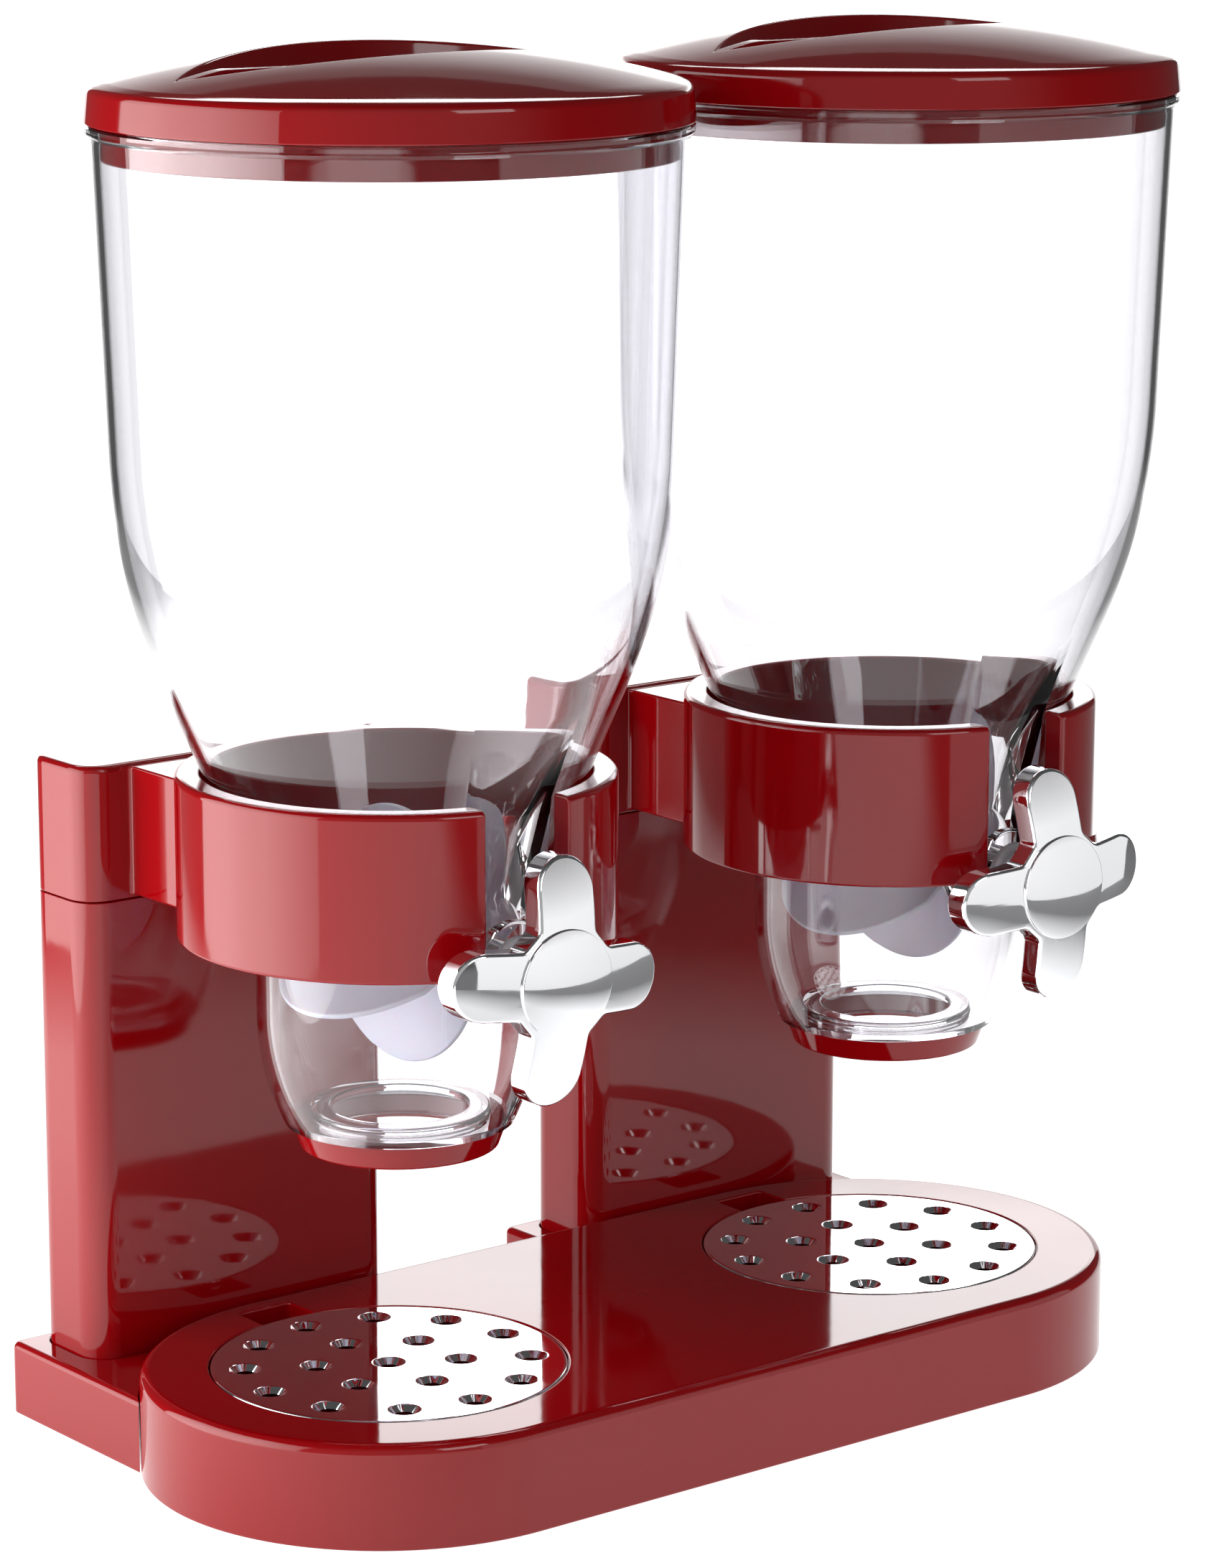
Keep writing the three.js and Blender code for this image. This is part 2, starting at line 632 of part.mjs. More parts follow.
/** The red trim ring round the collar under the chamber. */
function outletRing() {
  const top = CHAMBER_BOTTOM - GAP;
  const widest = 29;
  const foot = 26.8;
  const chamfer = 0.8;
  return turned(
    [
      [OUTLET_SEAT, OUTLET_BOTTOM],
      [foot - chamfer, OUTLET_BOTTOM],
      [foot, OUTLET_BOTTOM + chamfer],
      [widest, top],
      [OUTLET_SEAT, top],
      [OUTLET_SEAT, OUTLET_BOTTOM],
    ],
    MEDIUM_ROUND,
  );
}

// ---- Paddle drive -------------------------------------------------------------------------------------

const BUSH_FRONT = COLLAR_FRONT + 2.3;

/** The sleeve in the collar that the axle turns in. */
function axleBush() {
  const back = 36;
  const flangeWidth = 2.5;
  const sleeve = spindle(BUSH_RADIUS, back, COLLAR_FRONT + 1, MEDIUM_ROUND);
  const flange = spindle(BUSH_RADIUS + flangeWidth, COLLAR_FRONT + GAP, BUSH_FRONT, MEDIUM_ROUND);
  return sleeve.add(flange).subtract(spindle(AXLE_RADIUS + GAP, back - 1, BUSH_FRONT + 1, SMALL_ROUND));
}

const KNOB_SOCKET_END = KNOB_BACK + KNOB_RISE + 4;
const HUB_RADIUS = 5.5;

const axle = () => spindle(AXLE_RADIUS, -(REAR_SOCKET.hole - GAP), KNOB_SOCKET_END - GAP, SMALL_ROUND);

/** The stiff core that grips the axle inside the wheel. */
function paddleHub() {
  const core = spindle(HUB_RADIUS, -WHEEL_HALF, WHEEL_HALF, SMALL_ROUND);
  return core.subtract(spindle(AXLE_RADIUS + GAP, -WHEEL_HALF - 1, WHEEL_HALF + 1, SMALL_ROUND));
}

/** One flap: half a disc that stands on the axle's line, its ends cut square to clear the chamber. */
function flap(angle) {
  const reach = Math.acos(WHEEL_HALF / WHEEL_RADIUS);
  const shape = new THREE.Shape();
  shape.moveTo(-WHEEL_HALF, HUB_RADIUS + 1);
  shape.lineTo(WHEEL_HALF, HUB_RADIUS + 1);
  shape.absarc(0, 0, WHEEL_RADIUS, reach, Math.PI - reach);
  shape.closePath();
  const settings = { depth: FLAP_THICKNESS, bevelEnabled: false, curveSegments: 8 };
  const blade = new THREE.ExtrudeGeometry(shape, settings);
  blade.translate(0, 0, -FLAP_THICKNESS / 2);
  blade.rotateZ(Math.PI / 2).rotateY(angle).translate(0, 0, AXLE_HEIGHT);
  return solid(blade);
}

/** The soft wheel: a sleeve on the hub with flaps all round. */
function paddleWheel() {
  const sleeveWall = 2.5;
  const sleeve = spindle(HUB_RADIUS + sleeveWall, -WHEEL_HALF, WHEEL_HALF, MEDIUM_ROUND);
  const first = Math.PI / 2 - FLAP_LEAD;
  const flaps = Array.from({ length: FLAPS }, (_, i) => flap(first + (2 * Math.PI * i) / FLAPS));
  const bore = spindle(HUB_RADIUS + GAP, -WHEEL_HALF - 1, WHEEL_HALF + 1, MEDIUM_ROUND);
  return joined([sleeve, ...flaps]).subtract(bore);
}

/** The bulging plate that the knob's lobes are cut from. */
function knobPlate() {
  const radius = KNOB_RADIUS + 2;
  const steps = 5;
  const back = [];
  for (let i = 0; i <= steps; i++) {
    const r = (radius * i) / steps;
    back.push([r, KNOB_BACK + KNOB_RISE * (1 - (r / KNOB_RADIUS) ** 2)]);
  }
  const front = back.map(([r, y]) => [r, y + KNOB_THICKNESS]).reverse();
  return aboutAxle([...back, ...front], LARGE_ROUND);
}

/** The chrome knob: bulging lobes round a low dome, on a stub that hides the axle's end. */
function knob() {
  const margin = 5; // how far the cutter stands out in front of and behind the plate
  const depth = KNOB_RISE + KNOB_THICKNESS + 2 * margin;
  const lobes = new THREE.ExtrudeGeometry(knobOutline(), { depth, bevelEnabled: false, curveSegments: 5 });
  lobes.rotateX(Math.PI / 2).translate(0, margin - KNOB_BACK, AXLE_HEIGHT);
  const middle = KNOB_BACK + KNOB_RISE + KNOB_THICKNESS;
  const top = middle + KNOB_DOME_HEIGHT;
  const root = middle - 3; // inside the plate
  const domeShape = [[0, root], [KNOB_DOME_RADIUS, root], [KNOB_DOME_RADIUS, middle], [0, top]];
  const dome = aboutAxle(domeShape, MEDIUM_ROUND);
  const crown = spindle(KNOB_DOME_RADIUS / 2, root, top, MEDIUM_ROUND);
  const stub = spindle(STUB_RADIUS, BUSH_FRONT + GAP, root, MEDIUM_ROUND);
  const socket = spindle(AXLE_RADIUS + GAP, COLLAR_FRONT, KNOB_SOCKET_END, SMALL_ROUND);
  const plate = knobPlate().intersect(solid(lobes));
  return joined([plate, dome, crown, stub]).subtract(socket);
}

// ---- Lid ----------------------------------------------------------------------------------------------

/** The lid's dome as [radius, height] pairs from the shoulder to the axis, lowered by an inset. */
function domeProfile(shoulder, inset) {
  const rise = LID_TOP - LID_SHOULDER;
  const radius = (LID_RADIUS * LID_RADIUS + rise * rise) / (2 * rise);
  const steps = 5;
  const points = [];
  for (let i = 0; i <= steps; i++) {
    const r = shoulder * (1 - i / steps);
    points.push([r, LID_TOP - inset - radius + Math.sqrt(radius * radius - r * r)]);
  }
  return points;
}

function lid() {
  const bandInside = NECK_RADIUS + GAP + 0.2;
  const body = turned(
    [
      [0, SKIRT_BOTTOM],
      [SKIRT_RADIUS, SKIRT_BOTTOM],
      [SKIRT_RADIUS, LID_CEILING],
      [bandInside, LID_CEILING],
      [bandInside, LID_BOTTOM],
      [LID_RADIUS, LID_BOTTOM],
      [LID_RADIUS - 0.9, LID_SHOULDER - 0.6],
      ...domeProfile(LID_RADIUS - 2.2, 0),
    ],
    LARGE_ROUND,
  );
  const bore = SKIRT_RADIUS - SKIRT_WALL;
  const below = SKIRT_BOTTOM - 1;
  const hollow = turned([[0, below], [bore, below], ...domeProfile(bore, LID_WALL)], LARGE_ROUND);
  const bowlOutline = lens(POCKET_HALF + LID_WALL, POCKET_HALF_WIDTH + LID_WALL);
  const bowl = prism(bowlOutline, POCKET_FLOOR - LID_WALL, LID_TOP, LENS_ROUND);
  const pocket = prism(lens(POCKET_HALF, POCKET_HALF_WIDTH), POCKET_FLOOR, LID_TOP + 1, LENS_ROUND);
  const bar = prism(rectangle(-POCKET_HALF, POCKET_HALF, -BAR_HALF, BAR_HALF), POCKET_FLOOR - 1, BAR_TOP);
  const blank = body.subtract(hollow.subtract(bowl));
  return blank.subtract(pocket).add(bar.intersect(body));
}

/** The flat gasket between the lid and the canister's rim. */
function lidSeal() {
  const inside = SKIRT_RADIUS + GAP;
  const outside = NECK_RADIUS;
  const bottom = NECK_RIM + GAP;
  const top = LID_CEILING - GAP;
  return turned(
    [[inside, bottom], [outside, bottom], [outside, top], [inside, top], [inside, bottom]],
    LARGE_ROUND,
  );
}

// ---- Assembly -----------------------------------------------------------------------------------------

/** One dispenser: side is -1 on the left and 1 on the right; the turns are in radians. */
function unit(name, side, trayTurn, knobTurn) {
  const group = new THREE.Group();
  group.position.x = side * UNIT_X;

  const stand = new THREE.Group();
  stand.add(
    meshOf(name + "_drip_tray", dripTray(trayTurn), chrome),
    meshOf(name + "_crumb_cup", crumbCup(), redPlastic),
    meshOf(name + "_rear_foot", rearFoot(side), redPlastic),
    meshOf(name + "_column", column(), redPlastic),
    meshOf(name + "_holder", holder(), redPlastic),
    meshOf(name + "_front_rubber_foot", rubberPad(side * BASE_PAD.x, BASE_PAD.y), blackRubber),
  );
  BLOCK_PADS.forEach(([x, y], i) => {
    stand.add(meshOf(`${name}_rear_rubber_foot_${i + 1}`, rubberPad(x, y), blackRubber));
  });
  TONGUE_SCREWS.forEach(([x, y], i) => {
    stand.add(meshOf(`${name}_base_screw_${i + 1}`, screw(x, y, TONGUE.screwSeat - GAP, 13), steel));
  });
  COLUMN_SCREWS.forEach(([x, y], i) => {
    stand.add(meshOf(`${name}_column_screw_${i + 1}`, screw(x, y, WEB_BOTTOM - GAP, 16), steel));
  });

  const tower = new THREE.Group();
  tower.position.y = CANISTER_Y;
  tower.add(
    meshOf(name + "_canister", canister(), clearPlastic),
    meshOf(name + "_outlet_collar", outletCollar(), clearPlastic),
    meshOf(name + "_outlet_ring", outletRing(), redPlastic),
    meshOf(name + "_axle_bush", axleBush(), whitePlastic),
    meshOf(name + "_lid", lid(), redPlastic),
    meshOf(name + "_lid_seal", lidSeal(), softWhite),
  );

  // The knob, axle and wheel turn together about the axle's line.
  const drive = new THREE.Group();
  drive.position.z = AXLE_HEIGHT;
  drive.rotation.y = knobTurn;
  const parts = [
    meshOf(name + "_axle", axle(), steel),
    meshOf(name + "_paddle_hub", paddleHub(), whitePlastic),
    meshOf(name + "_paddle_wheel", paddleWheel(), softWhite),
    meshOf(name + "_knob", knob(), chrome),
  ];
  for (const part of parts) {
    part.position.z = -AXLE_HEIGHT;
    drive.add(part);
  }
  tower.add(drive);
  group.add(stand, tower);
  return group;
}

const dispenser = new THREE.Group();
dispenser.position.set(0, -MIDDLE_Y, PAD_HEIGHT);
const degrees = THREE.MathUtils.degToRad;
dispenser.add(
  meshOf("base_shell", baseShell(), redPlastic),
  unit("left", -1, degrees(30), degrees(5)),
  unit("right", 1, degrees(17), degrees(-5)),
);

export default dispenser;
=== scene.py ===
"""A twin cereal dispenser in a bright studio: clear canisters in red holders over chrome drip trays.

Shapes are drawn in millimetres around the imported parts' own boxes.
They are scaled to metres when they are placed.
"""

from math import acos, asin, atan2, cos, hypot, pi, radians, sin, sqrt, tan

import bmesh
import bpy
from mathutils import Matrix, Vector

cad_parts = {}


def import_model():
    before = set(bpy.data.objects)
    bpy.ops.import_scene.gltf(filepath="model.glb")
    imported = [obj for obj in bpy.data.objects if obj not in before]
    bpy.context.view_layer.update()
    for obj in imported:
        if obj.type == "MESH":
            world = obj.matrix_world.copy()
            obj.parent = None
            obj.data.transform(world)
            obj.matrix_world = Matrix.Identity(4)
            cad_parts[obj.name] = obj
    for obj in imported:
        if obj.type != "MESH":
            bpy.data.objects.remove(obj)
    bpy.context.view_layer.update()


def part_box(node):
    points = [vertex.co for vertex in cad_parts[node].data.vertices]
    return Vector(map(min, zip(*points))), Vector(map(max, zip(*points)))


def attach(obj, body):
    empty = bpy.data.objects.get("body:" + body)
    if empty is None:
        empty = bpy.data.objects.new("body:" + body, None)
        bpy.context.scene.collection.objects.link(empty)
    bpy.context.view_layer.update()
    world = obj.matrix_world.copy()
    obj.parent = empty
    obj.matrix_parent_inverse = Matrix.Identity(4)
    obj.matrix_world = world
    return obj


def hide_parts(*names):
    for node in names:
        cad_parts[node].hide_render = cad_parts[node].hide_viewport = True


METRES = 0.001
GAP = 0.3  # clearance between pieces that touch

# ---- Outlines and profiles ----


def filleted(corners, steps=6, between=0):
    """A closed outline through (x, y, radius) corners, each rounded by an arc of its radius.

    Each straight run between two arcs is split by a number of points in between.
    """
    arcs = []
    for i, (x, y, radius) in enumerate(corners):
        corner = Vector((x, y))
        before = (Vector(corners[i - 1][:2]) - corner).normalized()
        after = (Vector(corners[(i + 1) % len(corners)][:2]) - corner).normalized()
        half_angle = before.angle(after) / 2
        centre = corner + (before + after).normalized() * radius / sin(half_angle)
        start = corner + before * radius / tan(half_angle) - centre
        end = corner + after * radius / tan(half_angle) - centre
        turn = atan2(start.cross(end), start.dot(end))
        arcs.append([centre + Matrix.Rotation(turn * step / steps, 2) @ start for step in range(steps + 1)])
    points = []
    for arc, following in zip(arcs, arcs[1:] + arcs[:1]):
        points += arc
        points += [arc[-1].lerp(following[0], (i + 1) / (between + 1)) for i in range(between)]
    return [tuple(point) for point in points]


def quarter_arc(steps):
    """A quarter circle in steps, as pairs: the share of its radius still to go in, and the share risen."""
    angles = [pi / 2 * i / steps for i in range(steps + 1)]
    return [(1 - sin(angle), 1 - cos(angle)) for angle in angles]


def circle(radius, x=0.0, y=0.0, count=160):
    """An outline function: it gives the circle's points, moved in by an inset."""
    return lambda inset: [
        (x + (radius - inset) * cos(2 * pi * i / count), y + (radius - inset) * sin(2 * pi * i / count))
        for i in range(count)
    ]


def rounded_rectangle(low, high, corner, steps=8):
    """An outline function for a rectangle between two (x, y) corners, with round corners."""

    def outline(inset):
        left, front, right, back = low[0] + inset, low[1] + inset, high[0] - inset, high[1] - inset
        radius = max(corner - inset, 0.05)
        corners = ((left, front), (right, front), (right, back), (left, back))
        return filleted([(x, y, radius) for x, y in corners], steps)

    return outline


def stadium(radius, reach, y):
    """An outline function for two half circles at x = -reach and +reach, joined by straight sides."""
    steps = 64

    def outline(inset):
        r = radius - inset
        spokes = [pi * (i / steps - 0.5) for i in range(steps + 1)]
        right = [(reach + r * cos(a), y + r * sin(a)) for a in spokes]
        return right + [(-px, 2 * y - py) for px, py in right]

    return outline


# ---- Meshes ----


def surface(name, rings, closed=False):
    """An object whose skin runs through rings of points; its end rings are capped, or meet if closed."""
    bm = bmesh.new()
    rows = [[bm.verts.new(point) for point in ring] for ring in rings]
    strips = list(zip(rows, rows[1:]))
    if closed:
        strips.append((rows[-1], rows[0]))
    else:
        bm.faces.new(rows[0])
        bm.faces.new(rows[-1])
    count = len(rows[0])
    for lower, upper in strips:
        for i in range(count):
            j = (i + 1) % count
            bm.faces.new((lower[i], lower[j], upper[j], upper[i]))
    bmesh.ops.remove_doubles(bm, verts=bm.verts, dist=1e-4)
    bmesh.ops.recalc_face_normals(bm, faces=bm.faces)
    mesh = bpy.data.meshes.new(name)
    bm.to_mesh(mesh)
    bm.free()
    piece = bpy.data.objects.new(name, mesh)
    bpy.context.scene.collection.objects.link(piece)
    return piece


def turned(name, profile, x=0.0, y=0.0, count=160):
    """A body of revolution from (radius, height) pairs that start and end on the axis, or form a loop."""
    ends_on_axis = profile[0][0] == 0
    rings = []
    for radius, height in profile:
        spokes = (2 * pi * i / count for i in range(count))
        rings.append([(x + radius * cos(a), y + radius * sin(a), height) for a in spokes])
    return surface(name, rings, closed=not ends_on_axis)


def soft_turned(name, corners, x=0.0, y=0.0, count=160, steps=4):
    """A closed body of revolution clear of its axis, from (radius, height, fillet) corners."""
    return turned(name, filleted(corners, steps), x, y, count)


def soft_post(name, radius, bottom, top, edge, x=0.0, y=0.0, count=96):
    """A solid cylinder with rounded edges."""
    return soft_prism(name, circle(radius, x, y, count), bottom, top, edge, edge)


def soft_prism(name, outline, bottom, top, lower_edge, upper_edge):
    """A prism of an outline function, with its lower and upper edges rounded."""
    arc = quarter_arc(5)
    levels = [(lower_edge * left, bottom + lower_edge * risen) for left, risen in arc]
    levels += [(upper_edge * risen, top - upper_edge * left) for left, risen in arc]
    rings = [[(px, py, height) for px, py in outline(inset)] for inset, height in levels]
    return surface(name, rings)


def hole(name, outline, bottom, top, lip):
    """The tool for a hole with a rounded lip where it breaks through a flat top."""
    above = top + 5
    levels = [(0, bottom)]
    levels += [(-lip * risen, top - lip * left) for left, risen in quarter_arc(5)]
    levels.append((-lip, above))
    rings = [[(px, py, height) for px, py in outline(inset)] for inset, height in levels]
    return surface(name, rings)


def combined(piece, tool, operation):
    """The piece after one boolean with a tool, which is used up."""
    modifier = piece.modifiers.new("combine", "BOOLEAN")
    modifier.object = tool
    modifier.operation = operation
    modifier.solver = "MANIFOLD"
    seen = piece.evaluated_get(bpy.context.evaluated_depsgraph_get())
    mesh = bpy.data.meshes.new_from_object(seen)
    piece.modifiers.clear()
    piece.data = mesh
    bpy.data.objects.remove(tool)
    return piece


def cut(piece, *tools):
    for tool in tools:
        combined(piece, tool, "DIFFERENCE")
    return piece


def join(piece, *others):
    for other in others:
        combined(piece, other, "UNION")
    return piece


def gathered(pieces):
    """One object of several that don't touch, or that may pass through each other."""
    bm = bmesh.new()
    for piece in pieces:
        bm.from_mesh(piece.data)
    first = pieces[0]
    bm.to_mesh(first.data)
    bm.free()
    for piece in pieces[1:]:
        bpy.data.objects.remove(piece)
    return first


def moved(piece, matrix):
    piece.data.transform(matrix)
    return piece


def smooth(piece, sharp_angle=32):
    """Smooth shading that keeps real edges and leaves large faces flat."""
    mesh = piece.data
    mesh.shade_smooth()
    mesh.set_sharp_from_angle(angle=radians(sharp_angle))
    weighted = piece.modifiers.new("weighted normals", "WEIGHTED_NORMAL")
    weighted.keep_sharp = True
    return piece


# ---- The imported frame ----


def box_mm(node):
    """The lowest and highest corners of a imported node, in millimetres."""
    low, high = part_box(node)
    return low / METRES, high / METRES


class Unit:
    """Where one dispenser's axes and levels lie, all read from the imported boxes, in millimetres."""

    def __init__(self, name):
        self.name = name
        self.side = -1 if name == "left" else 1
        lid_low, lid_high = box_mm(name + "_lid")
        self.x = (lid_low.x + lid_high.x) / 2
        self.y = (lid_low.y + lid_high.y) / 2
        bush_low, bush_high = box_mm(name + "_axle_bush")
        self.axle_height = (bush_low.z + bush_high.z) / 2

    def box(self, node):
        return box_mm(f"{self.name}_{node}")

    def upright(self, piece):
        """Moves a piece drawn around the origin onto the canister's axis."""
        return moved(piece, Matrix.Translation((self.x, self.y, 0)))

    def facing(self, piece, turn=0.0):
        """Turns a piece drawn along +Z to face the front, on the axle's line."""
        spin = Matrix.Rotation(radians(turn), 4, "Y") @ Matrix.Rotation(pi / 2, 4, "X")
        return moved(piece, Matrix.Translation((self.x, self.y, self.axle_height)) @ spin)

    def front(self, node):
        """How far a node reaches in front of the canister's axis."""
        return self.y - self.box(node)[0].y

    def back(self, node):
        """How far a node's rear end lies in front of the canister's axis."""
        return self.y - self.box(node)[1].y


# ---- Base ----

BASE_WALL = 2.5
BASE_EDGE = 3.0
CUP_STEP = 1.6  # the cup's wall stands inside its rim by this much
CUP_WALL = 1.7
SEAT_COLLAR = 6.9  # height of the collar round the seat
NOTCH = {"half": 8.5, "front": 40.0, "back": 60.0, "depth": 6.0}


def tray_place(unit):
    """The drip tray's radius and the middle it shares with the seat and the cup."""
    low, high = unit.box("drip_tray")
    return (high.x - low.x) / 2, (low.y + high.y) / 2


def seat_tools(unit):
    """The tray's seat, the hole for the crumb cup and the finger notch behind the tray."""
    radius, middle_y = tray_place(unit)
    tray_high = unit.box("drip_tray")[1].z
    cup_low, cup_high = unit.box("crumb_cup")
    seat = hole("seat", circle(radius + GAP, unit.x, middle_y), cup_high.z - 1 - GAP, tray_high, 0.5)
    cup_outline = circle(radius - CUP_STEP + GAP, unit.x, middle_y)
    cup_hole = soft_prism("cup hole", cup_outline, cup_low.z - 5, cup_high.z, 0, 0)
    near = (unit.x - NOTCH["half"], middle_y + NOTCH["front"])
    far = (unit.x + NOTCH["half"], middle_y + NOTCH["back"])
    notch = hole("notch", rounded_rectangle(near, far, 1.2), tray_high - NOTCH["depth"], tray_high, 0.6)
    return seat, cup_hole, notch


def seat_collar(unit):
    """What the seat and notch leave standing in the base's hollow underside."""
    radius, middle_y = tray_place(unit)
    top = unit.box("drip_tray")[1].z
    collar_outline = circle(radius + GAP + BASE_WALL, unit.x, middle_y)
    collar = soft_prism("collar", collar_outline, top - SEAT_COLLAR, top, 0.6, 0)
    half = NOTCH["half"] + BASE_WALL
    near = (unit.x - half, middle_y + NOTCH["front"])
    far = (unit.x + half, middle_y + NOTCH["back"] + BASE_WALL)
    bottom = top - NOTCH["depth"] - BASE_WALL
    return join(collar, soft_prism("walls", rounded_rectangle(near, far, 1.2), bottom, top, 0.6, 0))


def base_shell(units):
    low, high = box_mm("base_shell")
    radius = (high.y - low.y) / 2
    reach = high.x - radius
    middle_y = (low.y + high.y) / 2
    outline = stadium(radius, reach, middle_y)
    shell = soft_prism("base_shell_fine", outline, low.z, high.z, 0.6, BASE_EDGE)
    hollow_outline = stadium(radius - BASE_WALL, reach, middle_y)
    hollow = soft_prism("hollow", hollow_outline, low.z - 2, high.z - BASE_WALL, 0, 2)
    for unit in units:
        cut(hollow, seat_collar(unit))
    cut(shell, hollow)
    for unit in units:
        cut(shell, *seat_tools(unit))
    return shell


def crumb_cup(unit):
    """The cup that hangs in the base by its rim and catches what falls through the tray."""
    low, high = unit.box("crumb_cup")
    rim, middle_y = tray_place(unit)
    wall = rim - CUP_STEP
    inside = wall - CUP_WALL
    step = high.z - 1
    profile = [
        (0, low.z),
        (wall - 2, low.z),
        (wall - 0.6, low.z + 0.6),
        (wall, low.z + 2),
        (wall, step),
        (rim - 0.3, step),
        (rim, step + 0.3),
        (rim, high.z - 0.3),
        (rim - 0.3, high.z),
        (inside + 0.4, high.z),
        (inside, high.z - 0.4),
        (inside, low.z + CUP_WALL + 2),
        (inside - 0.6, low.z + CUP_WALL + 0.6),
        (inside - 2, low.z + CUP_WALL),
        (0, low.z + CUP_WALL),
    ]
    return turned("cup", profile, unit.x, middle_y)


HOLE_RINGS = ((1, 0.0), (6, 19.8), (12, 39.2))  # number of holes and the radius they lie on
HOLE_THROAT = 2.8
HOLE_MOUTH = 4.5
TRAY_TURN = {"left": 30, "right": 17}


def funnel(x, y, bottom, top):
    """The tool for one funnel-shaped hole, its mouth softly rolled."""
    profile = [
        (0, bottom - 1),
        (HOLE_THROAT, bottom - 1),
        (HOLE_THROAT, bottom + 0.15),
        (HOLE_MOUTH - 0.2, top - 0.2),
        (HOLE_MOUTH, top - 0.06),
        (HOLE_MOUTH + 0.25, top),
        (HOLE_MOUTH + 0.25, top + 1),
        (0, top + 1),
    ]
    return turned("funnel", profile, x, y, 48)


def drip_tray(unit):
    low, high = unit.box("drip_tray")
    x, y = (low.x + high.x) / 2, (low.y + high.y) / 2
    radius = (high.x - low.x) / 2
    tray = soft_prism("tray", circle(radius, x, y, 192), low.z, high.z, 0.3, 0.9)
    funnels = []
    for count, ring in HOLE_RINGS:
        for i in range(count):
            angle = radians(TRAY_TURN[unit.name]) + 2 * pi * i / count
            funnels.append(funnel(x + ring * cos(angle), y + ring * sin(angle), low.z, high.z))
    return cut(tray, gathered(funnels))


# ---- Stand ----

COLUMN_CORNER = 8.5
BLOCK_CORNER = 3.0
TONGUE_HALF = 24.0
TONGUE_TOP = 5.0


def rear_foot(unit):
    """The block behind the base that the column plugs into, with its tongue under the base."""
    low, high = unit.box("rear_foot")
    column_low, column_high = unit.box("column")
    base_low, base_high = box_mm("base_shell")
    radius = (base_high.y - base_low.y) / 2
    middle_y = (base_low.y + base_high.y) / 2
    outline = rounded_rectangle((low.x, middle_y + 25), (high.x, high.y), BLOCK_CORNER)
    block = soft_prism("block", outline, low.z, high.z, 0.5, 2)
    socket_low = (column_low.x - GAP, column_low.y - GAP)
    socket_high = (column_high.x + GAP, column_high.y + GAP)
    socket_outline = rounded_rectangle(socket_low, socket_high, COLUMN_CORNER + GAP)
    socket = hole("socket", socket_outline, column_low.z - GAP, high.z, 0.5)
    base = hole("base", stadium(radius + GAP, base_high.x - radius, middle_y), low.z - 5, high.z, 0.6)
    cut(block, socket, base)
    tongue_outline = rounded_rectangle((unit.x - TONGUE_HALF, low.y), (unit.x + TONGUE_HALF, low.y + 28), 1)
    tongue = soft_prism("tongue", tongue_outline, low.z + 0.5, low.z + TONGUE_TOP, 0.4, 0.4)
    return join(block, tongue)


def column(unit):
    low, high = unit.box("column")
    shell_outline = rounded_rectangle(low.xy, high.xy, COLUMN_CORNER, 12)
    shell = soft_prism("column", shell_outline, low.z, high.z, 0.4, 0.35)
    wall = BASE_WALL
    inside = rounded_rectangle(
        (low.x + wall, low.y + wall), (high.x - wall, high.y - wall), COLUMN_CORNER - wall
    )
    return cut(shell, soft_prism("inside", inside, low.z + 4, high.z + 2, 1, 0))


RING_WALL = 6.8
RING_HEIGHT = 44.5
RING_OPENING = 13.3  # half the width of the gap at the front
CAP_DROP = 6.5  # the cap's top lies this far below the ring's
NECK_HALF = 35.0
NECK_INSET = 0.9  # the neck stands back from the cap's top and bottom
NECK_FILLET = 1.4


def ring_section(radius, bottom, top, inset):
    """The ring's cut face as (radius, height) points, moved in by an inset."""
    outside, inside = radius - inset, radius - RING_WALL + inset
    low, high = bottom + inset, top - inset
    soft = max(0.9 - inset, 0.05)
    crown = max(1.8 - inset, 0.05)
    corners = [(inside, low, soft), (outside, low, soft), (outside, high, crown), (inside, high, soft)]
    return filleted(corners, 5)


def open_ring(unit, radius, bottom, top):
    """The ring that carries the canister, open at the front, with rounded ends."""
    edge = 0.9
    spokes = 180
    ends = [(edge * left, edge * risen) for left, risen in quarter_arc(5)]
    stops = [(0, inset, along) for inset, along in ends]
    stops += [(i / spokes, 0, edge) for i in range(1, spokes)]
    stops += [(1, inset, along) for inset, along in reversed(ends)]
    rings = []
    for share, inset, along in stops:
        points = []
        for r, height in ring_section(radius, bottom, top, inset):
            start = asin((RING_OPENING + along) / r)
            around = -pi / 2 + start + share * 2 * (pi - start)
            points.append((unit.x + r * cos(around), unit.y + r * sin(around), height))
        rings.append(points)
    return surface("ring", rings)


def neck_outline(unit, radius, cap_front):
    """The neck from the ring to the cap in plan, flaring a little where it meets the cap."""
    start = unit.y + radius - 22

    def outline(inset):
        half = NECK_HALF - inset
        flare = half + NECK_FILLET
        corners = (
            (half, start + inset, 0.1),
            (half, cap_front, NECK_FILLET),
            (flare + 2, cap_front, 0.1),
            (flare + 2, cap_front + 8, 0.1),
        )
        right = [(unit.x + x, y, r) for x, y, r in corners]
        left = [(unit.x - x, y, r) for x, y, r in reversed(corners)]
        return filleted(right + left, 4)

    return outline


